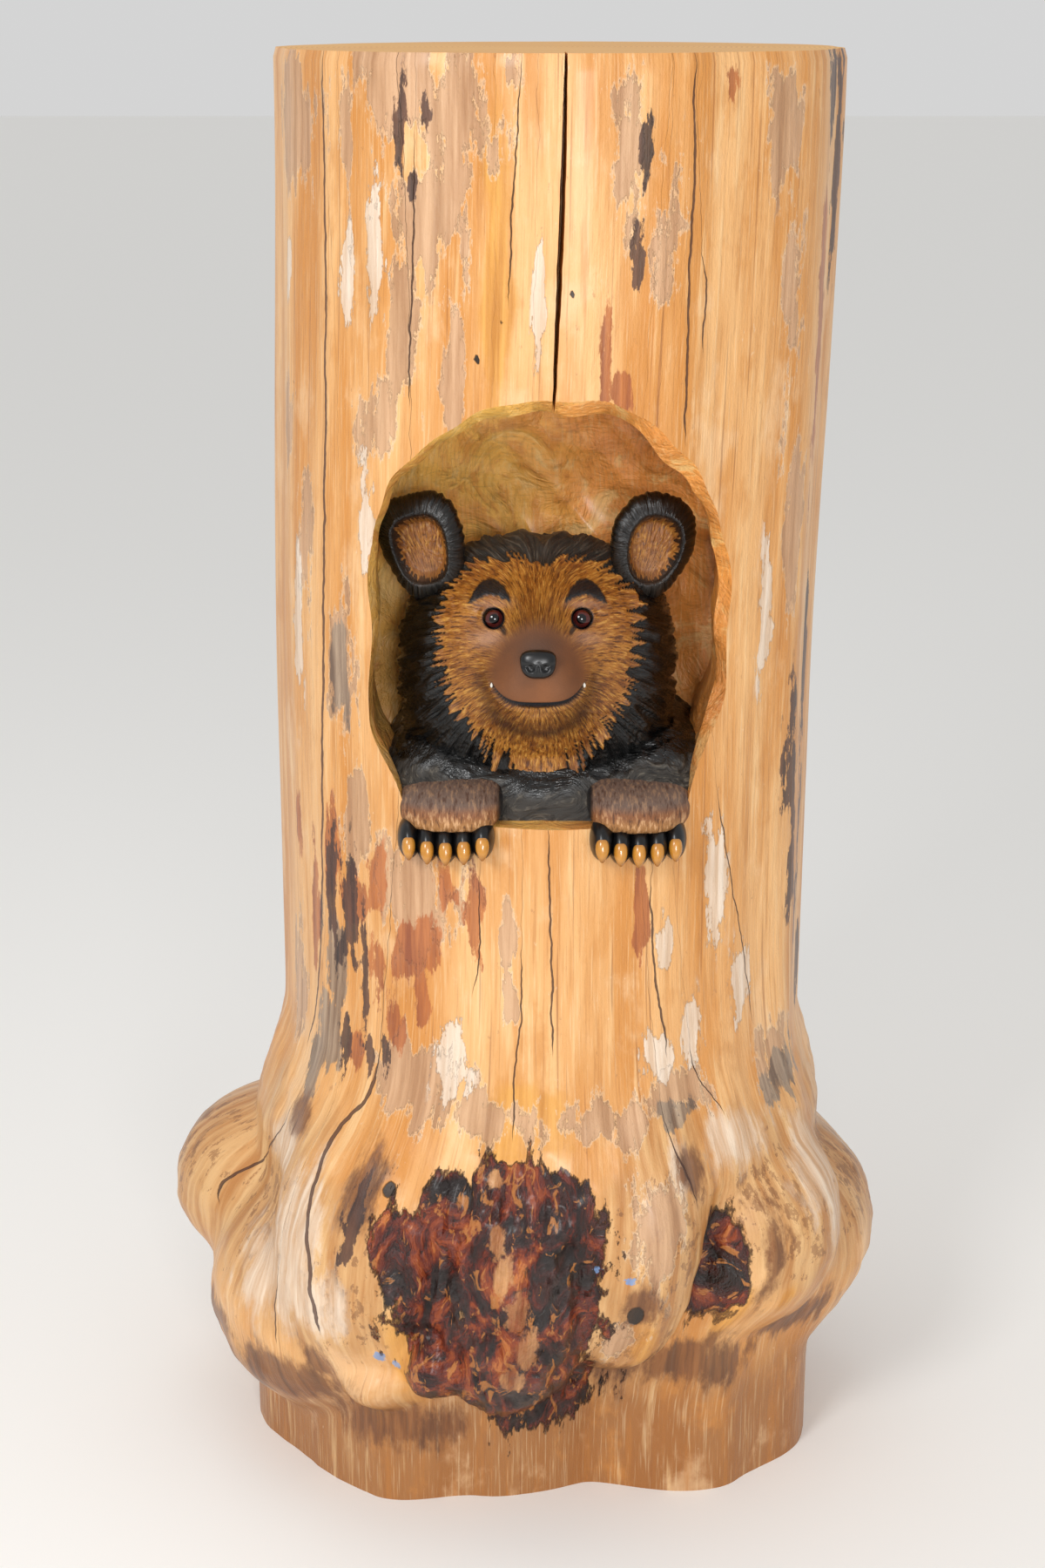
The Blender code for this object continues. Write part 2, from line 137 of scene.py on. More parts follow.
def ball(sides, rings):
    """A unit ball whose poles face along Y."""
    bm = bmesh.new()
    bmesh.ops.create_uvsphere(bm, u_segments=sides, v_segments=rings, radius=1)
    bmesh.ops.rotate(bm, verts=bm.verts, matrix=Matrix.Rotation(math.pi / 2, 3, "X"))
    return bm


def lean(z):
    share = z / LOG_HEIGHT
    return TRUNK_LEAN * (0.63 * smoothstep(0.04, 0.33, share) + 0.37 * smoothstep(0.55, 1.0, share))


def lobe_reach(bearing, z, lobe):
    at = lobe[0]
    height, half_height = lobe[1] * BURL_TOP, lobe[4] * BURL_TOP
    reach, half_width = lobe[2] * TRUNK_RADIUS, lobe[3] * TRUNK_RADIUS
    turn = bearing - math.radians(at)
    centre = reach - LOBE_DEPTH
    a = (math.cos(turn) / LOBE_DEPTH) ** 2 + (math.sin(turn) / half_width) ** 2
    b = -2 * math.cos(turn) * centre / LOBE_DEPTH**2
    c = (centre / LOBE_DEPTH) ** 2 + ((z - height) / half_height) ** 2 - 1
    inside = b * b - 4 * a * c
    return max(0.0, (-b + math.sqrt(inside)) / (2 * a)) if inside > 0 else 0.0


def foot_radius(degrees):
    turned = (degrees + 110) % 360 - 110
    after = next(i for i, (bearing, _) in enumerate(FOOT_PLAN) if bearing > turned)
    (low, radius), (high, next_radius) = FOOT_PLAN[after - 1], FOOT_PLAN[after]
    return TRUNK_RADIUS * (radius + (next_radius - radius) * smoothstep(low, high, turned))


def log_radius(bearing, z):
    """The log's radius at a bearing in radians and a height, before the small lumps."""
    foot = foot_radius(math.degrees(bearing))
    flutes = math.sin(7 * bearing + 0.6) + 0.4 * math.sin(19 * bearing)
    flutes += 0.6 * math.sin(12 * bearing + 3 * z / LOG_HEIGHT)
    flare = FLARE * smoothstep(BURL_TOP, 0.72 * BURL_TOP, z)
    trunk = TRUNK_RADIUS + FLUTE_DEPTH * flutes / 2 + flare
    rise = smoothstep(FOOT_TOP, 0.75 * BURL_TOP, z)
    plain = foot + (trunk - foot) * rise
    radius = plain**BURL_BLEND
    if z < 1.2 * BURL_TOP:
        radius += sum(lobe_reach(bearing, z, lobe) ** BURL_BLEND for lobe in BURL_LOBES)
    radius = radius ** (1 / BURL_BLEND)
    across = (bearing - math.radians(KNOT_BEARING)) * radius
    return radius - KNOT_DEPTH * hill(across, z, 0, KNOT_HEIGHT, KNOT_HALF_WIDTH, KNOT_HALF_HEIGHT)


def front_of_log(x, z):
    """The log's front surface, as y."""
    across = x - lean(z)
    bearing = math.asin(max(-0.95, min(0.95, across / TRUNK_RADIUS)))
    return -log_radius(bearing, z) * math.cos(bearing)


# Marks on the wood: bearing in degrees, height, half-width round the log and half-height in metres
MARKS = {
    # Pale, hard wood over the burls, tan and brown
    "burl_wood": (
        (-60, 0.3, 0.15, 0.125), (-100, 0.29, 0.15, 0.125), (-36, 0.25, 0.07, 0.125),
        (25, 0.33, 0.08, 0.12), (50, 0.32, 0.11, 0.12), (85, 0.3, 0.15, 0.125),
        (20, 0.22, 0.06, 0.09), (125, 0.29, 0.17, 0.125), (165, 0.28, 0.17, 0.125),
        (-150, 0.29, 0.19, 0.125),
    ),
    # Bleached wood on the crowns of the burls
    "bleached": (
        (-49, 0.29, 0.055, 0.085), (-40, 0.24, 0.03, 0.05), (-62, 0.36, 0.035, 0.04),
        (-56, 0.24, 0.04, 0.06), (40, 0.4, 0.045, 0.03), (27, 0.39, 0.016, 0.03),
        (60, 0.34, 0.035, 0.06), (110, 0.32, 0.07, 0.07), (-120, 0.33, 0.08, 0.07),
    ),
    # Golden swellings between the burls
    "golden_swell": (
        (-24, 0.175, 0.026, 0.06), (-36, 0.12, 0.026, 0.036), (49.5, 0.223, 0.008, 0.02),
        (22, 0.205, 0.014, 0.034), (42, 0.215, 0.01, 0.05), (-12, 1.22, 0.015, 0.14),
        (-4, 0.44, 0.06, 0.03),
    ),
    # Brown-grey inner bark that the peeling left on
    "inner_bark": (
        (-67, 1.365, 0.05, 0.075), (-33, 1.4, 0.06, 0.05), (-22, 1.37, 0.045, 0.066),
        (-28, 1.29, 0.044, 0.05), (-31, 1.18, 0.015, 0.08), (-20, 1.18, 0.013, 0.085),
        (-45, 1.34, 0.013, 0.085), (12, 1.35, 0.015, 0.08), (20, 1.265, 0.018, 0.065),
        (47, 1.36, 0.024, 0.05), (52, 1.18, 0.016, 0.11), (57, 1.000, 0.018, 0.09),
        (-70, 1.09, 0.02, 0.06), (-37, 1.105, 0.032, 0.038), (-46, 0.88, 0.02, 0.085),
        (-60, 0.98, 0.015, 0.07), (-27, 0.65, 0.055, 0.06), (-42, 0.72, 0.028, 0.06),
        (-8, 0.63, 0.011, 0.032), (-7, 0.563, 0.01, 0.026), (-28, 0.48, 0.058, 0.052),
        (-13, 0.445, 0.06, 0.028), (11, 0.438, 0.06, 0.024), (28, 0.46, 0.04, 0.03),
        (22, 0.34, 0.03, 0.06), (18, 0.2, 0.02, 0.04), (56, 0.47, 0.03, 0.044),
        (-70, 0.52, 0.024, 0.06), (160, 1.15, 0.06, 0.18), (-130, 0.95, 0.07, 0.2),
        (110, 0.78, 0.06, 0.16), (-165, 0.62, 0.06, 0.11), (95, 1.28, 0.05, 0.1),
    ),
    # A greyed patch where the wood has weathered
    "weathered": (
        (-49, 0.565, 0.026, 0.066), (-46, 0.87, 0.012, 0.055), (-52, 0.5, 0.02, 0.045),
        (-58, 0.455, 0.018, 0.044), (28, 0.44, 0.022, 0.016), (60, 0.44, 0.034, 0.024),
        (-155, 0.5, 0.04, 0.06),
    ),
    # Whitish fibres, scuffed and raised before the varnish went on
    "white_fibre": (
        (-37, 1.262, 0.011, 0.052), (-45, 1.225, 0.01, 0.052), (-70, 1.232, 0.012, 0.026),
        (-4, 1.225, 0.0045, 0.085), (-39, 0.99, 0.01, 0.065), (-64, 0.88, 0.011, 0.065),
        (37, 0.68, 0.012, 0.06), (25, 0.6, 0.01, 0.034), (31, 0.515, 0.016, 0.034),
        (24, 0.5, 0.018, 0.026), (-20, 0.5, 0.018, 0.044), (45, 0.54, 0.015, 0.044),
        (50, 0.92, 0.01, 0.07), (140, 0.8, 0.014, 0.12), (-100, 1.18, 0.014, 0.1),
    ),
    # Red-brown resin stain
    "red_stain": (
        (-37.5, 0.578, 0.015, 0.05), (-21, 0.675, 0.012, 0.036), (-15, 0.64, 0.01, 0.04),
        (-44, 0.483, 0.012, 0.02), (-33, 0.525, 0.012, 0.028), (-44, 0.64, 0.018, 0.026),
        (-30, 0.6, 0.02, 0.034), (-38, 0.66, 0.016, 0.04), (-26, 0.55, 0.012, 0.04),
        (-50, 0.68, 0.012, 0.05), (-24, 0.61, 0.01, 0.04), (12, 1.135, 0.01, 0.018),
        (9, 1.135, 0.005, 0.055), (33, 1.398, 0.007, 0.02), (19, 0.65, 0.008, 0.044),
        (-58, 0.6, 0.01, 0.065), (-66, 0.68, 0.008, 0.034), (66, 1.18, 0.014, 0.15),
        (120, 0.6, 0.018, 0.06), (-140, 0.56, 0.016, 0.05),
    ),
    # Painted shade, dark brown, in the hollows under the burls
    "underburl_shade": (
        (-52, 0.125, 0.075, 0.03), (-36, 0.095, 0.05, 0.03), (-22, 0.085, 0.04, 0.028),
        (-75, 0.15, 0.06, 0.022), (20, 0.15, 0.04, 0.04), (38, 0.15, 0.06, 0.026),
        (62, 0.17, 0.04, 0.018), (-42, 0.165, 0.016, 0.03), (30, 0.385, 0.016, 0.032),
        (46, 0.28, 0.01, 0.045), (19, 0.262, 0.014, 0.024), (-34, 0.36, 0.014, 0.045),
        (-57, 0.4, 0.022, 0.018), (120, 0.14, 0.12, 0.026), (-150, 0.13, 0.15, 0.026),
    ),
    # Dark weathered bark in the furrows
    "dark_bark": (
        (68, 1.385, 0.022, 0.055), (75, 1.32, 0.015, 0.08), (-31.5, 1.35, 0.006, 0.04),
        (-27, 1.368, 0.005, 0.02), (-29.5, 1.312, 0.009, 0.014), (15, 1.343, 0.005, 0.03),
        (14.5, 1.245, 0.006, 0.03), (60, 0.76, 0.011, 0.065), (62.5, 0.665, 0.011, 0.055),
        (70, 0.7, 0.014, 0.08), (69, 0.6, 0.009, 0.055), (78, 0.53, 0.012, 0.044),
        (72, 0.86, 0.01, 0.09), (-45, 0.6, 0.012, 0.075), (-41, 0.56, 0.008, 0.05),
        (-50, 0.64, 0.008, 0.06), (-47, 0.5, 0.007, 0.036), (-40, 0.48, 0.007, 0.034),
        (-35.5, 0.5, 0.007, 0.024), (-34, 0.33, 0.008, 0.04), (150, 0.9, 0.01, 0.08),
        (-120, 1.3, 0.01, 0.07),
    ),
    # The burl's broken face, dark with resin
    "resin_face": (
        (-6, 0.31, 0.08, 0.085), (-5, 0.2, 0.085, 0.09), (3, 0.13, 0.08, 0.048),
        (-25, 0.305, 0.026, 0.055), (-19, 0.25, 0.036, 0.075), (-17, 0.35, 0.036, 0.04),
        (3, 0.27, 0.042, 0.09), (-4, 0.375, 0.055, 0.03),
    ),
    # The knot hole: a shallow dent painted in the resin's dark colours, as painted shade in its depth
    "knot_hole": ((38, 0.268, 0.023, 0.072),),
    # A tongue of tan wood that runs down the resin face, and at its head a painted highlight where the varnish
    # catches the light
    "tan_tongue_and_glint": (
        (-7.5, 0.335, 0.008, 0.022), (-6, 0.303, 0.009, 0.024), (-3, 0.265, 0.011, 0.028),
        (-0.8, 0.222, 0.012, 0.028), (-2.8, 0.185, 0.011, 0.022), (-9.4, 0.389, 0.007, 0.01),
    ),
    # Flecks of blue paint from the yard
    "blue_fleck": (
        (-29.6, 0.186, 0.006, 0.007), (-27.3, 0.175, 0.006, 0.007), (16.7, 0.288, 0.004, 0.005),
        (11.3, 0.297, 0.004, 0.004),
    ),
    # Holes left by beetles, painted dark inside as painted shade
    "beetle_hole": (
        (5.4, 1.344, 0.0034, 0.0034), (2.1, 1.219, 0.0034, 0.0034), (-10.8, 1.198, 0.0034, 0.0034),
        (-2.3, 1.184, 0.003, 0.003), (-15.8, 1.162, 0.003, 0.003), (-37.7, 1.224, 0.003, 0.003),
        (-66.3, 1.124, 0.003, 0.0036), (-29.1, 0.37, 0.006, 0.009), (18.5, 0.251, 0.006, 0.012),
    ),
}
MARK_RADIUS = 0.27


def mark_strength(marks, bearing, z):
    strength = 0.0
    for at, height, half_width, half_height in marks:
        turn = (bearing - math.radians(at) + math.pi) % (2 * math.pi) - math.pi
        if abs(turn) * MARK_RADIUS < 2.5 * half_width and abs(z - height) < 2.5 * half_height:
            strength = max(strength, hill(turn * MARK_RADIUS, z, 0, height, half_width, half_height))
    return strength


def log_lumps(bearing, z):
    """The small swellings that the blank has no room for, in metres."""
    around = Vector((math.sin(bearing), math.cos(bearing), 0)) * MARK_RADIUS
    on_burl = smoothstep(0.50, 0.40, z) * smoothstep(0.06, 0.14, z)
    fluted = noise.noise(Vector((around.x * 16, around.y * 16, z * 1.5)))
    ripple = noise.noise(Vector((around.x * 60, around.y * 60, z * 5)))
    knobs = noise.fractal(Vector((around.x * 24, around.y * 24, z * 20)), 0.8, 2.0, 3)
    broken = noise.fractal(Vector((around.x * 60, around.y * 60, z * 28)), 0.7, 2.0, 4)
    resin = mark_strength(MARKS["resin_face"], bearing, z)
    lump = 0.0022 * fluted + 0.0006 * ripple + 0.0035 * on_burl * knobs
    return lump + 0.0075 * smoothstep(0.25, 0.6, resin) * broken


def niche_outline(angle):
    across, up = math.cos(angle), math.sin(angle)
    power = 2.25 if up > 0 else 12.0
    half_width, half_height = NICHE_WIDTH / 2, NICHE_HEIGHT / 2
    size = (abs(across / half_width) ** power + abs(up / half_height) ** power) ** (-1 / power)
    x, z = size * across, size * up
    if across < 0:
        narrowing = 1.005 - 0.155 * smoothstep(-0.55, -0.90, z / half_height)
    else:
        narrowing = 1 - 0.19 * smoothstep(-0.4, -0.9, z / half_height)
    ripple = 1 + 0.012 * math.sin(5 * angle + 1) + 0.008 * math.sin(11 * angle)
    ripple += 0.006 * math.sin(23 * angle + 2) * smoothstep(0.1, 0.5, up)
    return x * narrowing * ripple, z * (ripple if up > 0 else 1)


def linear(colour):
    """An sRGB hex colour as linear light."""
    channels = [int(colour[i : i + 2], 16) / 255 for i in (0, 2, 4)]
    return (*((c / 12.92 if c <= 0.04045 else ((c + 0.055) / 1.055) ** 2.4) for c in channels), 1)


def finish(name):
    """A new material, its node tree and its shader."""
    made = bpy.data.materials.new(name)
    made.use_nodes = True
    return made, made.node_tree, made.node_tree.nodes["Principled BSDF"]


SMOOTH = {"interpolation_type": "SMOOTHSTEP"}


def add(tree, kind, links=None, output=0, **settings):
    """Adds a node, with settings for its properties and links that feed or fill its inputs."""
    made = tree.nodes.new("ShaderNode" + kind)
    for name, value in settings.items():
        setattr(made, name, value)
    for socket, value in (links or {}).items():
        if isinstance(value, bpy.types.NodeSocket):
            tree.links.new(value, made.inputs[socket])
        else:
            made.inputs[socket].default_value = value
    return made.outputs[output]


def tint(tree, paint, layers):
    """Lays colours over a paint, each by its share where its source passes from low to high."""
    for source, low, high, share, colour in layers:
        spread = add(tree, "MapRange", {0: source, 1: low, 2: high, 4: share}, **SMOOTH)
        paint = add(tree, "Mix", {0: spread, 6: paint, 7: linear(colour)}, output=2, data_type="RGBA")
    return paint


# Drying checks: half-width in millimetres, then bearing in degrees and height down the length
CHECKS = (
    (1.7, ((-52, 1.42), (-50.8, 1.24), (-50.6, 0.92), (-51.8, 0.75), (-53.9, 0.6), (-58, 0.51), (-64, 0.45))),
    (1.3, ((25.5, 1.42), (25.9, 1.32), (25.9, 1.21), (26.4, 1.078))),
    (1.0, ((1.3, 0.735), (1.9, 0.62), (2.2, 0.503))),
    (0.9, ((-4.0, 0.62), (-4.2, 0.55), (-5.5, 0.488), (-5.4, 0.419))),
    (0.7, ((-12.6, 0.685), (-13.6, 0.58), (-14.9, 0.558))),
    (1.1, ((22.2, 0.684), (23.1, 0.61), (24.3, 0.567), (26.9, 0.489))),
    (0.8, ((38.1, 0.76), (41.7, 0.684), (46.0, 0.6), (51.2, 0.496))),
    (0.8, ((32.8, 0.5), (35.7, 0.46), (39.9, 0.432))),
    (2.3, ((-36, 0.49), (-39, 0.44), (-42.8, 0.411), (-43.2, 0.35), (-42.0, 0.32), (-39.5, 0.28), (-38.4, 0.2))),
    (1.1, ((25.6, 0.441), (28.5, 0.39), (31.1, 0.342))),
    (0.7, ((-7.0, 1.42), (-7.7, 1.357), (-8.3, 1.285), (-8.6, 1.2))),
    (0.8, ((-27.7, 1.348), (-28.1, 1.25), (-28.4, 1.11))),
    (1.2, ((28.5, 1.255), (29.9, 1.229), (29.4, 1.187), (30.0, 1.156))),
    (1.0, ((-49.2, 0.248), (-50.0, 0.215), (-49.7, 0.173))),
    (1.4, ((-61.8, 0.394), (-71.0, 0.332), (-78.2, 0.289), (-78.9, 0.272), (-78.0, 0.247))),
    (2.0, ((165, 1.42), (163, 1.0), (166, 0.62))),
    (1.6, ((-125, 1.42), (-124, 0.95), (-126, 0.52))),
    (1.4, ((100, 1.42), (101, 1.1), (99, 0.7))),
)

pine, tree, shader = finish("varnished_debarked_pine")
# Peeled conifer under clear varnish: honey-coloured, streaked along the fibre, glossy over a soft ground.
grain = add(tree, "Attribute", output="Vector", attribute_name="grain")
along = {}
for name, stretch, scale, detail, rough in (
    # Growth makes broad bands 40 mm wide, summer wood streaks of 8 mm, and fibres of 1.5 mm; the real
    # fibres are finer, and are drawn as coarse as the picture shows. Bark tears off in tatters.
    ("bands", 0.09, 23, 3, 0.55),
    ("streaks", 0.055, 110, 4, 0.6),
    ("fibres", 0.030, 560, 2, 0.6),
    ("hairlines", 0.012, 260, 2, 0.5),
    ("tatters", 0.30, 46, 9, 0.68),
    ("crumbs", 0.45, 120, 6, 0.72),
    ("clouds", 0.60, 16, 6, 0.6),
):
    stretched = add(tree, "VectorMath", {0: grain, 1: (1, 1, stretch)}, operation="MULTIPLY")
    along[name] = add(
        tree,
        "TexNoise",
        {"Vector": stretched, "Scale": scale, "Detail": detail, "Roughness": rough},
        output="Fac",
    )
height = add(tree, "SeparateXYZ", {0: grain}, output="Z")
bands = add(tree, "MapRange", {0: along["bands"], 1: 0.34, 2: 0.66}, **SMOOTH)
paint = add(tree, "Mix", {0: bands, 6: linear("D08A3E"), 7: linear("ECB576")}, output=2, data_type="RGBA")
# Painted shade: the wood darkens towards the foot, under the burl's overhang.
painted_foot_shade = add(tree, "MapRange", {0: height, 1: 0.19, 2: 0.07}, **SMOOTH)
layers = (
    (painted_foot_shade, 0.0, 1.0, 0.85, "955C28"),
    (along["clouds"], 0.54, 0.66, 0.55, "D08A3E"),
    (along["clouds"], 0.45, 0.32, 0.45, "F3CA9A"),
    (along["streaks"], 0.54, 0.72, 0.45, "F7D29B"),
    (along["streaks"], 0.46, 0.30, 0.45, "BC7830"),
    (along["fibres"], 0.55, 0.72, 0.25, "FAE0B4"),
    (along["fibres"], 0.45, 0.30, 0.28, "A5652A"),
    (along["hairlines"], 0.66, 0.72, 0.45, "8A4E20"),
    (along["crumbs"], 0.65, 0.71, 0.45, "A0683A"),
    (along["crumbs"], 0.34, 0.29, 0.35, "F4DDBE"),
)
paint = tint(tree, paint, layers)

# The resin face: black, oxblood and orange wood twisted together, with bright flecks 5 to 15 mm long.
twisted = add(tree, "VectorMath", {0: grain, 1: (1, 1, 0.45)}, operation="MULTIPLY")
twist = add(
    tree,
    "TexNoise",
    {"Vector": twisted, "Scale": 30, "Detail": 7, "Roughness": 0.66, "Distortion": 1.5},
    output="Fac",
)
flecks = add(
    tree,
    "TexNoise",
    {"Vector": twisted, "Scale": 95, "Detail": 4, "Roughness": 0.6, "Distortion": 1.0},
    output="Fac",
)
resin_paint = linear("1C0E0B")
layers = (
    (twist, 0.40, 0.48, 1.0, "3E150D"),
    (twist, 0.48, 0.54, 1.0, "6A2412"),
    (twist, 0.54, 0.60, 0.9, "9A4419"),
    (twist, 0.61, 0.66, 0.9, "C87434"),
    (flecks, 0.57, 0.63, 0.75, "C9803C"),
    (flecks, 0.42, 0.35, 0.75, "150E0C"),
)
resin_paint = tint(tree, resin_paint, layers)

# A mark is strong in its middle and fades outwards; the noise makes its edge ragged.
spreads = {}
for mark, source, swing, low, high, share, dark, light in (
    ("burl_wood", "clouds", 2.0, 0.20, 0.80, 0.85, "B47A40", "DDB078"),
    ("burl_wood", "tatters", 3.4, 0.95, 1.30, 0.55, "8A5628", "A8743E"),
    ("burl_wood", "crumbs", 3.2, 1.00, 1.12, 0.60, "6E4222", "8E5C32"),
    ("bleached", "tatters", 2.6, 0.25, 0.80, 0.80, "CFA67E", "F0DCC6"),
    ("golden_swell", "clouds", 2.0, 0.25, 0.70, 0.85, "C07E2C", "E2A24A"),
    ("inner_bark", "tatters", 3.4, 0.47, 0.50, 0.45, "DDBE9A", "EBD4B8"),
    ("inner_bark", "tatters", 3.4, 0.56, 0.62, 0.70, "9A6B48", "CB9C74"),
    ("weathered", "tatters", 3.4, 0.40, 0.52, 0.85, "5E4C40", "A8927C"),
    ("white_fibre", "tatters", 3.4, 0.40, 0.48, 0.85, "D6BA9E", "F0E0CE"),
    ("red_stain", "tatters", 3.4, 0.38, 0.55, 0.85, "8A3E18", "BE6A2C"),
    ("underburl_shade", "tatters", 3.0, 0.15, 0.75, 0.85, "4E2814", "875022"),
    ("dark_bark", "tatters", 4.2, 0.42, 0.52, 0.92, "241514", "5B3626"),
    ("resin_face", "tatters", 1.5, 0.30, 0.38, 1.00, "", ""),
    ("knot_hole", "tatters", 1.2, 0.36, 0.46, 1.00, "", ""),
    ("tan_tongue_and_glint", "crumbs", 1.6, 0.35, 0.60, 0.85, "9A5020", "DCA268"),
    ("blue_fleck", "crumbs", 3.0, 0.50, 0.58, 0.90, "6F8FC0", "8FA9D0"),
    ("beetle_hole", "clouds", 0.5, 0.40, 0.55, 1.00, "241608", "3A2410"),
):
    strength = add(tree, "Attribute", output="Fac", attribute_name=mark)
    ragged = add(tree, "Math", {0: along[source], 1: -0.5}, operation="ADD")
    ragged = add(tree, "Math", {0: ragged, 1: swing, 2: strength}, operation="MULTIPLY_ADD")
    spread = add(tree, "MapRange", {0: ragged, 1: low, 2: high, 4: share}, **SMOOTH)
    near = add(tree, "MapRange", {0: strength, 1: 0.02, 2: 0.14})
    spreads[mark] = add(tree, "Math", {0: spread, 1: near}, operation="MULTIPLY")
    colour = resin_paint
    if dark:
        tone = add(tree, "MapRange", {0: along["streaks"], 1: 0.38, 2: 0.62})
        colour = add(tree, "Mix", {0: tone, 6: linear(dark), 7: linear(light)}, output=2, data_type="RGBA")
    paint = add(tree, "Mix", {0: spreads[mark], 6: paint, 7: colour}, output=2, data_type="RGBA")
resin = add(tree, "Math", {0: spreads["resin_face"], 1: spreads["knot_hole"]}, operation="MAXIMUM")

# The bearing round the log, as a share of a half turn, wandering by a few millimetres.
place = add(tree, "Attribute", output="Vector", attribute_name="unrolled")
split = add(tree, "SeparateXYZ", {0: place}).node
wander = add(tree, "TexNoise", {"Vector": place, "Scale": 30, "Detail": 3}, output="Fac")
bearing = add(tree, "Math", {0: wander, 1: 0.012, 2: split.outputs["X"]}, operation="MULTIPLY_ADD")
share_up = add(tree, "Math", {0: split.outputs["Z"], 1: 1 / LOG_HEIGHT}, operation="MULTIPLY")
opened = None
for half_width, course in CHECKS:
    both = add(tree, "CombineXYZ", {0: share_up, 1: share_up})
    curves = add(tree, "VectorCurve", {"Vector": both}).node
    ends = (course[-1][1] / LOG_HEIGHT, course[0][1] / LOG_HEIGHT)
    for axis, points in (
        (0, [(z / LOG_HEIGHT, degrees / 180) for degrees, z in reversed(course)]),
        (1, [(ends[0] - 0.01, -0.3), (ends[0] + 0.03, 1.0), (ends[1] - 0.04, 1.0), (ends[1] + 0.01, 0.2)]),
    ):
        curve = curves.mapping.curves[axis]
        curve.points[0].location = (-1, points[0][1])
        curve.points[-1].location = (1.2, points[-1][1])
        for x, y in points:
            curve.points.new(x, y)
    curves.mapping.use_clip = False
    curves.mapping.update()
    course_split = add(tree, "SeparateXYZ", {0: curves.outputs[0]}).node
    away = add(tree, "Math", {0: bearing, 1: course_split.outputs["X"]}, operation="SUBTRACT")
    away = add(tree, "Math", {0: away}, operation="ABSOLUTE")
    half = add(tree, "Math", {0: course_split.outputs["Y"], 1: half_width}, operation="MULTIPLY")
    # A half turn is 848 mm of surface; the edge is half a millimetre soft.
    inside = add(tree, "Math", {0: away, 1: -848, 2: half}, operation="MULTIPLY_ADD")
    inside = add(tree, "Math", {0: inside, 1: 1.6}, operation="MULTIPLY", use_clamp=True)
    opened = inside if opened is None else add(tree, "Math", {0: opened, 1: inside}, operation="MAXIMUM")
# Painted shade: the checks are painted dark brown inside.
painted_check_shade = add(tree, "Math", {0: opened, 1: 0.88}, operation="MULTIPLY")
paint = add(tree, "Mix", {0: painted_check_shade, 6: paint, 7: linear("4A2210")}, output=2, data_type="RGBA")

# Fibres stand 0.3 mm, patches of bark half a millimetre, and the resin face is broken 5 mm deep.
relief = add(tree, "Math", {0: along["fibres"], 1: 0.0003}, operation="MULTIPLY")
for source, depth in (
    (along["streaks"], 0.0014),
    (along["crumbs"], 0.0010),
    (along["clouds"], 0.0040),
    (spreads["inner_bark"], 0.0005),
    (spreads["white_fibre"], 0.0005),
    (spreads["beetle_hole"], -0.002),
    (opened, -0.004),
):
    relief = add(tree, "Math", {0: source, 1: depth, 2: relief}, operation="MULTIPLY_ADD")
broken = add(tree, "Math", {0: twist, 1: resin}, operation="MULTIPLY")
relief = add(tree, "Math", {0: broken, 1: 0.012, 2: relief}, operation="MULTIPLY_ADD")
chips = add(tree, "Math", {0: flecks, 1: resin}, operation="MULTIPLY")
relief = add(tree, "Math", {0: chips, 1: 0.005, 2: relief}, operation="MULTIPLY_ADD")
tree.links.new(add(tree, "Bump", {"Height": relief, "Distance": 1.0, "Strength": 1.0}), shader.inputs["Normal"])
tree.links.new(paint, shader.inputs["Base Color"])
tree.links.new(add(tree, "MapRange", {0: resin, 3: 0.46, 4: 0.22}), shader.inputs["Roughness"])
shader.inputs["IOR"].default_value = 1.5
shader.inputs["Coat Weight"].default_value = 0.25
shader.inputs["Coat Roughness"].default_value = 0.22

gouged, tree, shader = finish("gouged_pine")
# The niche's walls: the same wood cut back with gouges, so it shows rings and end grain, golden to brown.
place = add(tree, "TexCoord", output="Object")
drift = add(tree, "TexNoise", {"Vector": place, "Scale": 6, "Detail": 3}, output="Fac")
split = add(tree, "SeparateXYZ", {0: place}).node
rings = add(tree, "CombineXYZ", {0: split.outputs["X"], 1: split.outputs["Y"]})
rings = add(tree, "VectorMath", {0: rings}, output="Value", operation="LENGTH")
rings = add(tree, "Math", {0: drift, 1: 0.10, 2: rings}, operation="MULTIPLY_ADD")
# A ring is 5 mm of growth, drawn as wide as the real ones.
rings = add(tree, "Math", {0: rings, 1: 2 * math.pi / 0.005}, operation="MULTIPLY")
rings = add(tree, "Math", {0: rings}, operation="SINE")
patches = add(
    tree,
    "TexNoise",
    {"Vector": place, "Scale": 20, "Detail": 7, "Roughness": 0.62, "Distortion": 1.4},
    output="Fac",
)
# Torn fibre shows as short slanting strokes 2 mm wide.
slanted = add(tree, "Mapping", {"Vector": place, "Rotation": (0, 0.9, 0), "Scale": (0.16, 1, 1)})
strokes = add(tree, "TexNoise", {"Vector": slanted, "Scale": 330, "Detail": 3, "Distortion": 0.4}, output="Fac")
stretched = add(tree, "VectorMath", {0: place, 1: (1, 1, 0.06)}, operation="MULTIPLY")
fibres = add(tree, "TexNoise", {"Vector": stretched, "Scale": 300, "Detail": 4}, output="Fac")
# Painted light: the walls are paler and yellower on the left, where the light comes from, and more orange on the
# right.
painted_side_light = add(tree, "MapRange", {0: split.outputs["X"], 1: -0.05, 2: 0.10}, **SMOOTH)
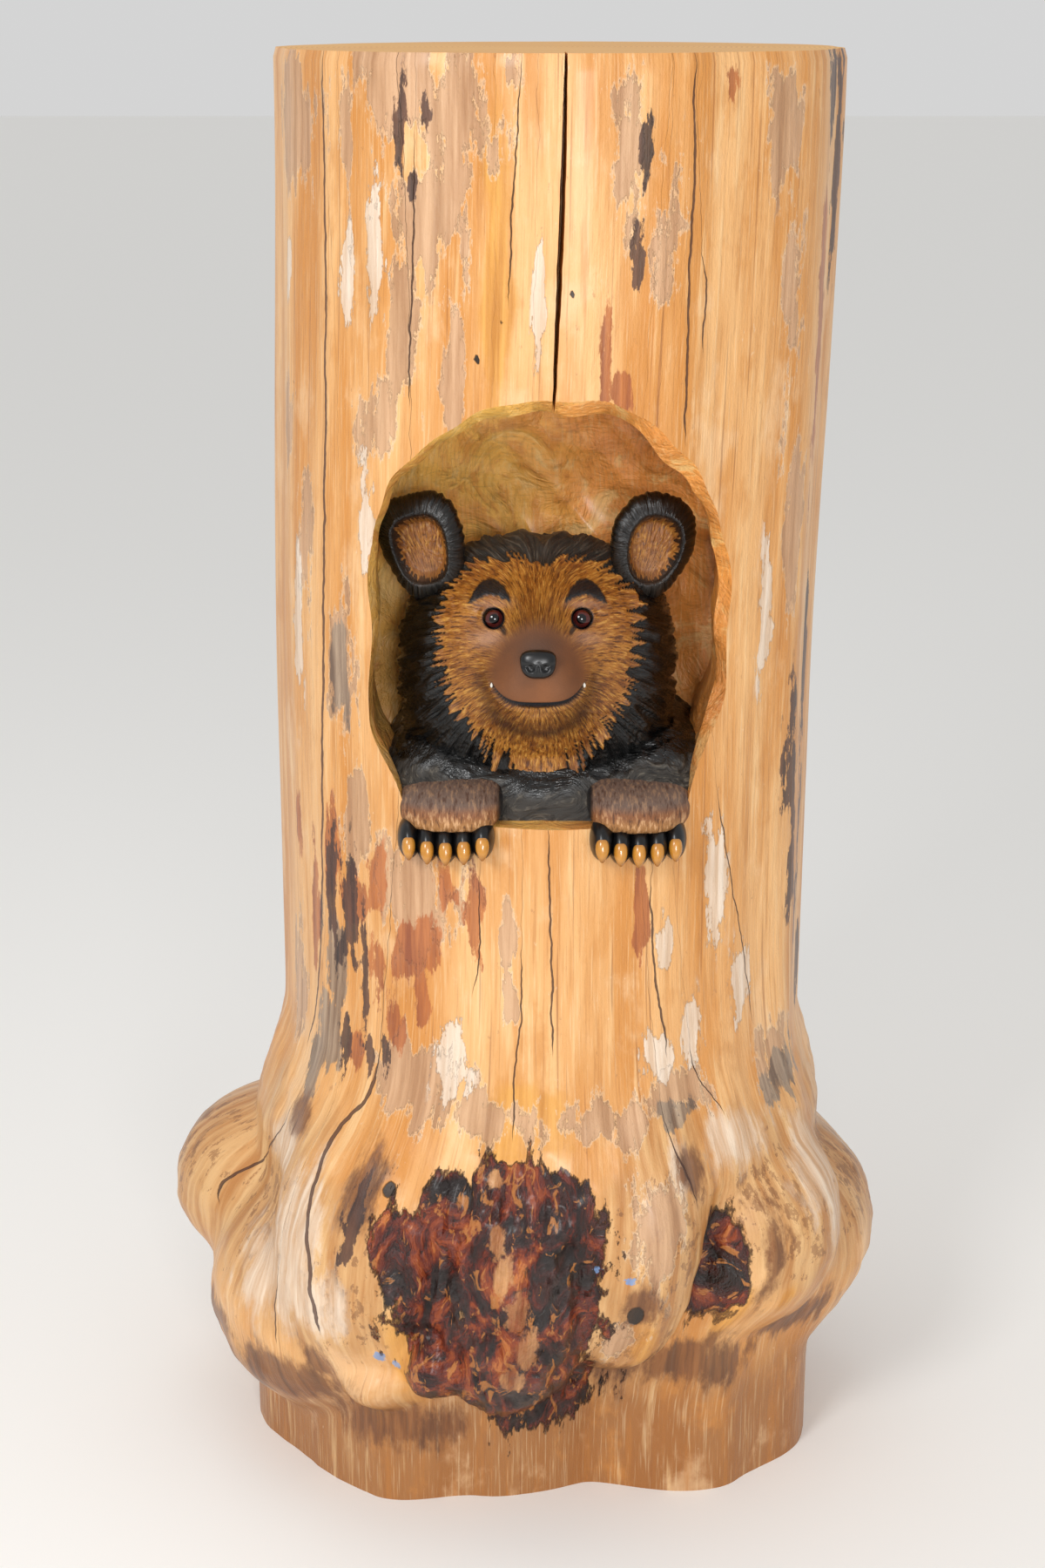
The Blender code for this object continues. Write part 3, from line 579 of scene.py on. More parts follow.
# Painted shade: the walls darken low in the niche, under the head and behind the chest, but not on the sill.
painted_low_shade = add(tree, "MapRange", {0: split.outputs["Z"], 1: 0.99, 2: 0.84}, **SMOOTH)
above_sill = add(tree, "MapRange", {0: split.outputs["Z"], 1: 0.75, 2: 0.78})
painted_low_shade = add(tree, "Math", {0: painted_low_shade, 1: above_sill}, operation="MULTIPLY")
paint = add(tree, "Mix", {0: painted_side_light, 6: linear("FFC864"), 7: linear("F2A04C")}, output=2, data_type="RGBA")
layers = (
    (patches, 0.50, 0.62, 0.60, "DA8A3E"),
    (patches, 0.47, 0.36, 0.60, "FFDA90"),
    (painted_low_shade, 0.0, 1.0, 0.45, "A85C2A"),
    (rings, 0.2, 1.0, 0.14, "8E5A28"),
    (fibres, 0.53, 0.70, 0.22, "F8DDA0"),
    (fibres, 0.45, 0.30, 0.25, "9A662E"),
    (strokes, 0.56, 0.68, 0.15, "F0CE8C"),
    (strokes, 0.42, 0.32, 0.18, "7A4A20"),
)
paint = tint(tree, paint, layers)
tree.links.new(paint, shader.inputs["Base Color"])
relief = add(tree, "Math", {0: fibres, 1: 0.0006}, operation="MULTIPLY")
for source, depth in ((patches, 0.012), (strokes, 0.0006)):
    relief = add(tree, "Math", {0: source, 1: depth, 2: relief}, operation="MULTIPLY_ADD")
tree.links.new(add(tree, "Bump", {"Height": relief, "Distance": 1.0}), shader.inputs["Normal"])
shader.inputs["Roughness"].default_value = 0.36
shader.inputs["Coat Weight"].default_value = 0.3
shader.inputs["Coat Roughness"].default_value = 0.2

sawn, tree, shader = finish("sawn_end_grain")
# The sawn ends: rings round the pith, paler than the sides, with the saw's fine scores across them.
place = add(tree, "TexCoord", output="Object")
split = add(tree, "SeparateXYZ", {0: place}).node
flat = add(tree, "CombineXYZ", {0: split.outputs["X"], 1: split.outputs["Y"]})
drift = add(tree, "TexNoise", {"Vector": flat, "Scale": 5, "Detail": 3}, output="Fac")
rings = add(tree, "VectorMath", {0: flat}, output="Value", operation="LENGTH")
rings = add(tree, "Math", {0: drift, 1: 0.02, 2: rings}, operation="MULTIPLY_ADD")
rings = add(tree, "Math", {0: rings, 1: 2 * math.pi / 0.005}, operation="MULTIPLY")
rings = add(tree, "Math", {0: rings}, operation="SINE")
scores = add(tree, "VectorMath", {0: flat, 1: (0.06, 1, 1)}, operation="MULTIPLY")
scores = add(tree, "TexNoise", {"Vector": scores, "Scale": 300, "Detail": 2}, output="Fac")
paint = add(tree, "Mix", {0: drift, 6: linear("DE9C3E"), 7: linear("F0BC66")}, output=2, data_type="RGBA")
layers = ((rings, -0.2, 1.0, 0.45, "B0702C"), (scores, 0.5, 0.7, 0.2, "C48A44"))
paint = tint(tree, paint, layers)
tree.links.new(paint, shader.inputs["Base Color"])
relief = add(tree, "Math", {0: scores, 1: 0.0006}, operation="MULTIPLY")
tree.links.new(add(tree, "Bump", {"Height": relief, "Distance": 1.0}), shader.inputs["Normal"])
shader.inputs["Roughness"].default_value = 0.5

# The trunk's skin: a cone's upright edges are cut into rings, and each corner is moved out to the log.
bm = bmesh.new()
bmesh.ops.create_cone(bm, cap_ends=True, segments=LOG_SIDES, radius1=1, radius2=1, depth=1)
upright = [e for e in bm.edges if abs(e.verts[0].co.z - e.verts[1].co.z) > 0.5]
bmesh.ops.subdivide_edges(bm, edges=upright, cuts=LOG_RINGS - 1, use_grid_fill=True)
for vert in bm.verts:
    # The rings stand closer together over the burl than up the trunk.
    share = vert.co.z + 0.5
    z = LOG_HEIGHT * (0.62 * share + 0.38 * share**2.2)
    turn = math.atan2(vert.co.x, -vert.co.y)
    bearing_here = turn - 0.35 * math.sin(turn)
    radius = log_radius(bearing_here, z) + log_lumps(bearing_here, z)
    # The saw has rounded and chipped the rims by a millimetre or two.
    radius -= 0.0025 * smoothstep(LOG_HEIGHT - 0.006, LOG_HEIGHT, z)
    vert.co = (lean(z) + radius * math.sin(bearing_here), -radius * math.cos(bearing_here), z)
for face in bm.faces:
    if len(face.verts) > 4:
        face.material_index = 2
log = keep("log", bm, pine, gouged, sawn)

# The niche: a closed shape with a dished back, straight walls and a lip, scalloped by strokes of the gouge.
BACK_RINGS = 44
WALL_RINGS = 22
STATIONS = [(ring / BACK_RINGS, "back") for ring in range(BACK_RINGS)]
STATIONS += [(ring / WALL_RINGS, "wall") for ring in range(WALL_RINGS)]
STATIONS += [(1.0, "lip_foot"), (1.0, "outside"), (0.0, "front")]
back = -TRUNK_RADIUS + NICHE_DEPTH
niche_middle = SILL_HEIGHT + NICHE_HEIGHT / 2


def scallop(place, turn):
    """How deep a gouge has cut, in metres: strokes 85 mm long and 40 mm wide meet in sharp ridges."""
    across = place.x * math.cos(turn) + place.z * math.sin(turn)
    down = place.z * math.cos(turn) - place.x * math.sin(turn)
    drift = 0.010 * noise.noise(place * 18)
    cell = Vector(((across + drift) / 0.040, place.y / 0.060, (down - drift) / 0.085))
    distances, _ = noise.voronoi(cell)
    return 0.0075 * (1 - (distances[0] / 0.75) ** 2)


bm = ball(NICHE_SIDES, len(STATIONS) - 1)
for vert in bm.verts:
    ring = round(math.acos(max(-1, min(1, vert.co.y))) / math.pi * (len(STATIONS) - 1))
    share, kind = STATIONS[ring]
    angle = math.atan2(vert.co.z, vert.co.x)
    edge_x, edge_z = niche_outline(angle)
    lip = LIP_WIDTH * (1 + LIP_SWING * math.cos(angle - math.radians(35)))
    lip *= smoothstep(-0.9, -0.5, math.sin(angle))
    lip *= 1 + 0.5 * noise.noise(Vector((4 * math.cos(angle), 4 * math.sin(angle), 5)))
    inset = {"outside": -2 * lip, "front": 0.0}.get(kind, lip)
    size = {"back": share, "front": 0.0}.get(kind, 1.0) * (1 - inset / math.hypot(edge_x, edge_z))
    x, z = NICHE_X + edge_x * size, niche_middle + edge_z * size
    face = front_of_log(NICHE_X + edge_x, niche_middle + edge_z)
    corner = back - NICHE_DISH
    y = {
        "back": back - NICHE_DISH * share**3,
        "wall": corner + share * (face + LIP_DEPTH - corner),
        "lip_foot": face + LIP_DEPTH,
        "outside": face - 2 * LIP_DEPTH,
        "front": -1.4 * TRUNK_RADIUS,
    }[kind]
    # The gouge marks fade out at the lip and stay off the flat sill.
    off_sill = smoothstep(0.745, 0.765, z)
    if kind == "back":
        y += off_sill * (scallop(Vector((x, 0, z)), 0.7) - 0.003)
    elif kind == "wall":
        cut = off_sill * smoothstep(1.0, 0.7, share) * scallop(Vector((x, y, z)), 0.2)
        x, z = x + cut * math.cos(angle), z + cut * math.sin(angle)
    vert.co = (x, y, z)
cutter = keep("niche_cutter", bm)
for polygon in cutter.data.polygons:
    polygon.material_index = 1

bm = bmesh.new()
bmesh.ops.create_cube(bm, size=1)
upright = [e for e in bm.edges if abs(e.verts[0].co.z - e.verts[1].co.z) > 0.5]
bmesh.ops.subdivide_edges(bm, edges=upright, cuts=40, use_grid_fill=True)
low, high = SILL_HEIGHT + 0.95 * NICHE_HEIGHT, LOG_HEIGHT + 2 * CHECK_WIDTH
for vert in bm.verts:
    share = vert.co.z + 0.5
    z = low + (high - low) * share
    gape = 0.45 + 0.55 * math.sin(math.pi * share)
    inside = vert.co.y > 0
    half = CHECK_WIDTH / 2 * gape * (0.15 if inside else 1.4)
    middle = CHECK_FOOT_X + (CHECK_TOP_X - CHECK_FOOT_X) * share
    middle += 0.3 * CHECK_WIDTH * math.sin(15 * z / LOG_HEIGHT) + 0.0008 * noise.noise(Vector((0, 0, z * 60)))
    depth = CHECK_DEPTH if inside else -CHECK_DEPTH / 2
    vert.co = (middle + half * math.copysign(1, vert.co.x), depth - TRUNK_RADIUS, z)
wedge = keep("check_cutter", bm)
for polygon in wedge.data.polygons:
    polygon.material_index = 1

for tool in (cutter, wedge):
    cut = log.modifiers.new(tool.name, "BOOLEAN")
    cut.operation = "DIFFERENCE"
    cut.solver = "EXACT"
    cut.object = tool
carved = bpy.data.meshes.new_from_object(log.evaluated_get(bpy.context.evaluated_depsgraph_get()))
log.modifiers.clear()
log.data = carved
for tool in (cutter, wedge):
    bpy.data.objects.remove(tool)
carved.shade_smooth()
carved.set_sharp_from_angle(angle=math.radians(42))

for name in ("grain", "unrolled"):
    carved.attributes.new(name, "FLOAT_VECTOR", "POINT")
for name in MARKS:
    carved.attributes.new(name, "FLOAT", "POINT")
for index, vert in enumerate(carved.vertices):
    x, y, z = vert.co
    bearing_here = math.atan2(x - lean(z), -y)
    # The fibres part round the burl as water parts round a stone.
    splay = bearing_here - 0.16 * math.sin(bearing_here) * smoothstep(0.60, 0.30, z)
    around = (MARK_RADIUS * math.sin(splay), MARK_RADIUS * math.cos(splay), z)
    carved.attributes["grain"].data[index].vector = around
    carved.attributes["unrolled"].data[index].vector = (bearing_here / math.pi, 0, z)
    for mark, marks in MARKS.items():
        strength = mark_strength(marks, bearing_here, z)
        if strength > 0:
            carved.attributes[mark].data[index].value = strength
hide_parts("carved_log")
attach(log, "root")

# The bear's head
#
# Carved in the round from the same wood, its fur cut with a small burr in tapering locks, then burnt
# and painted: a golden brown face, a matt muzzle, and a black mane under gloss varnish.

BEAR_X = 0.014
HEAD_HEIGHT = 0.865
HEAD_SETBACK = 0.135
HEAD_TILT = math.radians(12)
HEAD_WIDTH = 0.255
LOCK_DEPTH = 0.016
LOCKS = 26
# Hairs are counted round a head of this mean radius
FUR_RADIUS = 0.13
EYE_SPREAD = 0.040
EYE_RISE = 0.038
MOUTH_HALF_WIDTH = 0.043
head_to_world = Matrix.Translation((BEAR_X, -HEAD_SETBACK, HEAD_HEIGHT))
head_to_world = head_to_world @ Matrix.Rotation(-HEAD_TILT, 4, "X")


def smile(x):
    """The height of the mouth's line, in head widths."""
    return -0.149 + 0.074 * (abs(x) / 0.17) ** 4.2


def face_relief(x, z):
    """How far the face stands proud of the skull's ellipsoid; all in head widths."""
    above = smoothstep(-0.10, 0.10, z)
    snout = math.hypot(x / (0.172 - 0.045 * above), (z + 0.075) / (0.170 + 0.080 * above))
    relief = 0.205 / (1 + snout ** (5.5 - 2.3 * above))
    relief += 0.014 * hill(x, z, 0, -0.205, 0.12, 0.03)
    for side in (-1, 1):
        relief += 0.012 * hill(x, z, side * 0.09, -0.105, 0.06, 0.05)
        relief += 0.030 * hill(x, z, side * 0.28, -0.10, 0.13, 0.16)
        relief += 0.024 * hill(x, z, side * 0.17, 0.235, 0.085, 0.04)
        relief -= 0.032 * hill(x, z, side * 0.160, 0.150, 0.055, 0.05)
        relief += 0.016 * hill(x, z, side * 0.166, 0.095, 0.06, 0.02)
    return relief


def face_shift(tilt):
    return -0.07 * max(0.0, math.cos(tilt)) ** 2


def head_point(tilt, around):
    """A point of the head in its own axes, from its angle off the snout's tip and its angle around it."""
    power = 2.3 if math.sin(around) > 0 else 2.3 + 1.3 * smoothstep(0.6, 1.2, tilt)
    square = (abs(math.cos(around)) ** power + abs(math.sin(around)) ** power) ** (-1 / power)
    size = HEAD_WIDTH * math.sin(tilt) * square
    x = 0.5 * size * math.cos(around)
    z = 0.45 * size * math.sin(around) + HEAD_WIDTH * face_shift(tilt)
    y = -0.37 * HEAD_WIDTH * math.cos(tilt)
    if tilt < math.pi / 2:
        y -= HEAD_WIDTH * face_relief(x / HEAD_WIDTH, z / HEAD_WIDTH)
    return Vector((x, y, z))


def strand(around, along, width, length, seed=0.0):
    """Fur: a noise drawn out along the hair, from -1 to 1. Around is in radians, along in metres."""
    cells = FUR_RADIUS / width
    at = Vector((cells * math.cos(around) + seed, cells * math.sin(around), along / length))
    return noise.noise(at)


def tufts(around, count, wobble):
    """Pointed tufts side by side round the face: 1 at each tip, 0 in each gap."""
    turn = around / (2 * math.pi) * count
    turn += wobble * noise.noise(Vector((6 * math.cos(around), 6 * math.sin(around), 3.0)))
    return 1 - (2 * abs(turn - math.floor(turn) - 0.5)) ** 1.5


HEAD_MASKS = ("golden", "muzzle", "soot", "ink", "dust", "pale", "painted_shade")
bm = ball(360, 200)
masks = {name: bm.verts.layers.float.new(name) for name in HEAD_MASKS}
hair = bm.verts.layers.float_vector.new("hair")
moves = {}
for vert in bm.verts:
    share = math.acos(max(-1, min(1, -vert.co.y))) / math.pi
    tilt = math.pi * (0.36 * share + 0.64 * share**2.1)
    around = math.atan2(vert.co.z, vert.co.x)
    here = head_point(tilt, around)
    x, y, z = here
    along = FUR_RADIUS * tilt
    # The painted face is as wide as the cheeks, flat above and drawn to a point under the chin; it ends
    # where the way out to its edge is 1.
    low = smoothstep(0.02, -0.09, z)
    if z < 0.015:
        out = ((abs(x) / 0.091) ** 1.11 + ((0.015 - z) / 0.132) ** 2) ** 0.9
    else:
        out = ((abs(x) / 0.091) ** 3.0 + ((z - 0.015) / 0.079) ** 3.0) ** (1 / 3.0)
    if tilt > 1.75:
        out = max(out, 1.5)
    side_of = max(-1.0, min(1.0, x / 0.03))
    droop = around + 0.7 * (min(out, 1.5) - 1) * side_of * (1 - low * 0.6)
    reach = 0.11 + 0.06 * smoothstep(0.04, 0.08, abs(x)) + 0.32 * low * smoothstep(0.080, 0.03, abs(x))
    reach *= 0.85 + 0.6 * noise.noise(Vector((9 * math.cos(droop), 9 * math.sin(droop), 8.0)))
    peak = 0.12 * hill(x, z, 0.006, 0.098, 0.013, 0.022)
    golden = out + peak < 1 + reach * (tufts(droop, 62, 2.0) - 0.5)
    vert[masks["golden"]] = 1.0 if golden else 0.0
    snout = math.hypot(x / (0.046 - 0.14 * max(0.0, z)), (z + 0.012) / 0.046)
    muzzle = smoothstep(1.20, 0.80, snout) if z > HEAD_WIDTH * smile(x / HEAD_WIDTH) - 0.002 else 0.0
    vert[masks["soot"]] = 0.75 * hill(x, z, 0, 0.012, 0.026, 0.020)
    vert[masks["muzzle"]] = muzzle
    # Brows, lids and the line of the mouth are painted black.
    ink = 0.0
    push = 0.0
    for side in (-1, 1):
        brow_x, brow_z = side * x - 0.044, z - 0.061
        arch = brow_z - 0.0060 + 34 * brow_x**2 + 0.10 * max(0.0, brow_x)
        thick = 0.0072 * (1 - (abs(brow_x) / 0.020) ** 3)
        ragged = 0.0016 * noise.noise(Vector((x * 400, z * 150, 0)))
        if abs(brow_x) < 0.020:
            ink = max(ink, smoothstep(0.0012, -0.0004, abs(arch) - thick + ragged))
            push += 0.0012 * smoothstep(0.002, -0.002, abs(arch) - thick)
        from_eye = math.hypot(side * x - EYE_SPREAD, z - EYE_RISE)
        duct = math.hypot(side * x - 0.0315 - 0.3 * (z - 0.0285), (z - 0.0285) / 1.9)
        lid = max(smoothstep(0.0119, 0.0106, from_eye), 0.85 * smoothstep(0.0034, 0.0018, duct))
        ink = max(ink, lid)
        push += 0.0022 * math.exp(-(((from_eye - 0.0118) / 0.0022) ** 2))
        push -= 0.0045 * smoothstep(0.0098, 0.0080, from_eye)
        wrinkle = math.hypot(side * x - EYE_SPREAD, (z - 0.040) / 0.92)
        push -= 0.0008 * math.exp(-(((wrinkle - 0.0165) / 0.0012) ** 2)) * smoothstep(0.036, 0.046, z)
        under_eye = (0.85 if side < 0 else 0.5) * hill(side * x, z, 0.046, 0.021, 0.015, 0.009)
        lid_glow = 0.5 * hill(side * x, z, 0.042, 0.051, 0.014, 0.004)
        vert[masks["pale"]] = max(vert[masks["pale"]], under_eye, lid_glow)
    mouth_z = HEAD_WIDTH * smile(x / HEAD_WIDTH)
    if y < 0 and abs(x) < MOUTH_HALF_WIDTH + 0.003:
        taper = smoothstep(MOUTH_HALF_WIDTH + 0.003, MOUTH_HALF_WIDTH - 0.004, abs(x))
        ink = max(ink, taper * smoothstep(0.0028, 0.0014, abs(z - mouth_z)))
        push -= 0.0050 * taper * math.exp(-(((z - mouth_z) / 0.0019) ** 2))
        push += 0.0014 * taper * math.exp(-(((z - mouth_z + 0.0050) / 0.0022) ** 2))
        lip = math.exp(-(((z - mouth_z + 0.0044) / 0.0016) ** 2)) * hill(x, 0, 0, 0, 0.028, 1)
        vert[masks["dust"]] = 0.7 * taper * lip
    vert[masks["ink"]] = ink
    # Painted shade under the chin and round the muzzle
    chin = math.hypot(x / 0.042, (z + 0.040) / 0.026)
    painted_shade = 0.75 * math.exp(-(((chin - 1.0) / 0.22) ** 2)) * smoothstep(-0.028, -0.050, z)
    painted_shade = max(painted_shade, 0.45 * math.exp(-(((snout - 1.12) / 0.16) ** 2)) * smoothstep(0.004, -0.02, z))
    vert[masks["painted_shade"]] = painted_shade if y < 0 else 0.0
    crown = smoothstep(0.070, 0.100, z) * smoothstep(0.11, 0.06, abs(x))
    vert[masks["dust"]] = max(vert[masks["dust"]], 0.8 * crown)
    strokes_round = FUR_RADIUS / (0.0030 if golden else 0.0026)
    stroke_long = 0.0095 if golden else 0.030
    vert[hair] = (strokes_round * math.cos(droop), strokes_round * math.sin(droop), along / stroke_long)
    # Locks: short burr strokes on the face, deep grooves in the mane, none on the muzzle
    mane = smoothstep(0.95, 1.12, out)
    clear_of_eye = smoothstep(0.014, 0.022, math.hypot(abs(x) - EYE_SPREAD, z - EYE_RISE))
    fine = 0.0010 * strand(around, along, 0.0042, 0.012) * (1 - muzzle) * clear_of_eye
    deep = 0.0046 * (1 - 2 * abs(strand(droop, along, 0.0085, 0.060, 4.0)))
    deep += 0.0019 * (1 - 2 * abs(strand(droop, along, 0.0032, 0.030, 7.0)))
    ruff = smoothstep(0.80, 1.1, tilt) * smoothstep(2.4, 1.6, tilt) * (0.75 - 0.35 * math.sin(around))
    bunch = 2.0 * noise.noise(Vector((3 * math.cos(around), 3 * math.sin(around), 0)))
    swell = HEAD_WIDTH * LOCK_DEPTH * 0.4 * ruff * math.cos(around * LOCKS + bunch)
    beard = 0.022 * math.exp(-(((around + math.pi / 2) / 0.42) ** 2))
    beard *= smoothstep(0.75, 1.15, tilt) * smoothstep(2.3, 1.6, tilt)
    tuft_edge = 0.0030 * mane if golden else 0.0
    moves[vert] = push + fine * (1 - mane) + deep * mane + swell + beard + tuft_edge
    vert.co = here
    vert.co.z -= 0.7 * beard
bm.normal_update()
if bm.calc_volume(signed=True) < 0:
    bmesh.ops.reverse_faces(bm, faces=bm.faces)
    bm.normal_update()
for vert, move in moves.items():
    vert.co += vert.normal * move
bmesh.ops.transform(bm, verts=bm.verts, matrix=head_to_world)

fur, tree, shader = finish("burnt_and_painted_fur")
# Milk paint over scorched wood: golden strokes on a brown ground, black gloss in the mane and a dusty
# crown. A stroke is 2 to 3 mm wide, coarser than the real ones, so that it shows.
hairs = add(tree, "Attribute", output="Vector", attribute_name="hair")
strokes = add(tree, "TexNoise", {"Vector": hairs, "Scale": 1.0, "Detail": 3, "Roughness": 0.6}, output="Fac")
coarse = add(tree, "TexNoise", {"Vector": hairs, "Scale": 0.42, "Detail": 2, "Roughness": 0.5}, output="Fac")
place = add(tree, "TexCoord", output="Object")
clouds = add(tree, "TexNoise", {"Vector": place, "Scale": 38, "Detail": 4}, output="Fac")
stipple = add(tree, "TexNoise", {"Vector": place, "Scale": 520, "Detail": 2}, output="Fac")
mask = {name: add(tree, "Attribute", output="Fac", attribute_name=name) for name in HEAD_MASKS}
gold = linear("945818")
layers = (
    (clouds, 0.42, 0.62, 0.70, "B4762A"),
    (strokes, 0.52, 0.66, 0.75, "D49C48"),
    (strokes, 0.48, 0.34, 0.90, "4A2208"),
    (coarse, 0.46, 0.34, 0.60, "5E2E0C"),
)
gold = tint(tree, gold, layers)
black = linear("050505")
layers = (
    (strokes, 0.56, 0.72, 0.45, "24221F"),
    (coarse, 0.55, 0.70, 0.25, "1A1714"),
)
black = tint(tree, black, layers)
grey = linear("342F29")
layers = (
    (strokes, 0.52, 0.66, 0.75, "6A6256"),
    (strokes, 0.46, 0.34, 0.90, "15120F"),
)
grey = tint(tree, grey, layers)
black = add(tree, "Mix", {0: mask["dust"], 6: black, 7: grey}, output=2, data_type="RGBA")
edge = add(tree, "MapRange", {0: mask["golden"], 1: 0.35, 2: 0.65})
paint = add(tree, "Mix", {0: edge, 6: black, 7: gold}, output=2, data_type="RGBA")
brown = add(tree, "Mix", {0: clouds, 6: linear("5E3A22"), 7: linear("8A5228")}, output=2, data_type="RGBA")
for name, colour in (
    ("pale", linear("B98A6C")),
    ("muzzle", brown),
    ("soot", linear("4E3A30")),
    # painted shade under the chin, round the muzzle and inside the ears' rims
    ("painted_shade", linear("32160A")),
    ("ink", linear("131216")),
):
    paint = add(tree, "Mix", {0: mask[name], 6: paint, 7: colour}, output=2, data_type="RGBA")
tree.links.new(paint, shader.inputs["Base Color"])
relief = add(tree, "Math", {0: strokes, 1: 0.0030}, operation="MULTIPLY")
smooth_muzzle = add(tree, "MapRange", {0: mask["muzzle"], 3: 1.0, 4: 0.05})
relief = add(tree, "Math", {0: relief, 1: smooth_muzzle}, operation="MULTIPLY")
relief = add(tree, "Math", {0: stipple, 1: 0.0002, 2: relief}, operation="MULTIPLY_ADD")
tree.links.new(add(tree, "Bump", {"Height": relief, "Distance": 1.0}), shader.inputs["Normal"])
matt = add(tree, "Math", {0: mask["muzzle"], 1: mask["dust"]}, operation="MAXIMUM")
shader.inputs["Coat Roughness"].default_value = 0.3
tree.links.new(add(tree, "MapRange", {0: matt, 3: 0.3, 4: 0.0}), shader.inputs["Coat Weight"])
rough = add(tree, "MapRange", {0: edge, 3: 0.17, 4: 0.42})
rough = add(tree, "Mix", {0: matt, 2: rough, 3: 0.75}, data_type="FLOAT")
tree.links.new(rough, shader.inputs["Roughness"])
head = keep("bear_head", bm, fur)
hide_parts("carved_log")
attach(head, "root")

# The nose
#
# A rounded pad standing off the muzzle, wider above, its nostrils cut as two commas; black enamel.

NOSE_RISE = -0.001
NOSE_WIDTH = 0.032
NOSE_HEIGHT = 0.026
NOSE_PROUD = 0.009


def skin(x, z):
    """The face's surface at a place in the head's own axes, as y."""
    tilt = 0.3
    for _ in range(8):
        across = x / HEAD_WIDTH / 0.5
        up = (z / HEAD_WIDTH - face_shift(tilt)) / 0.45
        tilt = math.asin(min(1.0, (abs(across) ** 2.3 + abs(up) ** 2.3) ** (1 / 2.3)))
    return -HEAD_WIDTH * (0.37 * math.cos(tilt) + face_relief(x / HEAD_WIDTH, z / HEAD_WIDTH))


bm = ball(72, 40)
for vert in bm.verts:
    x, y, z = (math.copysign(abs(c) ** 0.7, c) for c in vert.co)
    at_x = NOSE_WIDTH / 2 * x * (1 + 0.12 * z)
    at_z = NOSE_RISE + NOSE_HEIGHT / 2 * z
    at_y = skin(0, NOSE_RISE) + NOSE_PROUD * (y - 0.1)
    if y < 0:
        for side in (-1, 1):
            nostril = math.hypot((side * x - 0.42) / 0.22, (z + 0.28) / 0.26)
            slit = math.hypot((side * x - 0.80) / 0.30, (z + 0.10) / 0.13)
            at_y += 0.0030 * math.exp(-(nostril**4)) + 0.0018 * math.exp(-(slit**4))
        at_y += 0.0012 * math.exp(-((x / 0.07) ** 2)) * smoothstep(0.3, -0.3, z)
    vert.co = (at_x, at_y, at_z)
bmesh.ops.transform(bm, verts=bm.verts, matrix=head_to_world)
enamel, tree, shader = finish("black_enamel")
# Brushed enamel: nearly black and wet-looking, with a faint unevenness from the brush.
place = add(tree, "TexCoord", output="Object")
brushed = add(tree, "TexNoise", {"Vector": place, "Scale": 160, "Detail": 3}, output="Fac")
paint = add(tree, "Mix", {0: brushed, 6: linear("050506"), 7: linear("0D0D0F")}, output=2, data_type="RGBA")
tree.links.new(paint, shader.inputs["Base Color"])
relief = add(tree, "Math", {0: brushed, 1: 0.0001}, operation="MULTIPLY")
tree.links.new(add(tree, "Bump", {"Height": relief, "Distance": 1.0}), shader.inputs["Normal"])
shader.inputs["Roughness"].default_value = 0.3
nose = keep("nose_pad", bm, enamel)
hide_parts("carved_log")
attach(nose, "root")

# The fangs
#
# Two small points at the corners of the mouth, whittled from the same wood and painted white.

ivory, tree, shader = finish("white_paint")
# Brushed white paint, a little warm and uneven, with a soft gloss.
place = add(tree, "TexCoord", output="Object")
brushed = add(tree, "TexNoise", {"Vector": place, "Scale": 300, "Detail": 2}, output="Fac")
paint = add(tree, "Mix", {0: brushed, 6: linear("D8D2C6"), 7: linear("F0ECE2")}, output=2, data_type="RGBA")
tree.links.new(paint, shader.inputs["Base Color"])
shader.inputs["Roughness"].default_value = 0.3
for side in (-1, 1):
    x = side * 0.0420
    z = HEAD_WIDTH * smile(x / HEAD_WIDTH) + 0.0005
    bm = ball(16, 10)
    for vert in bm.verts:
        narrow = 1 - 0.45 * smoothstep(0, 1, vert.co.z)
        vert.co = (x + 0.0014 * vert.co.x * narrow, skin(x, z) + 0.0022 * vert.co.y, z + 0.0024 * vert.co.z)
    bmesh.ops.transform(bm, verts=bm.verts, matrix=head_to_world)
    fang = keep("fang_" + ("left" if side < 0 else "right"), bm, ivory)
    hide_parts("carved_log")
    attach(fang, "root")

# The ears
#
# Cupped ears with thick rolled rims, combed with gouge lines and blackened; the cups are golden brown.

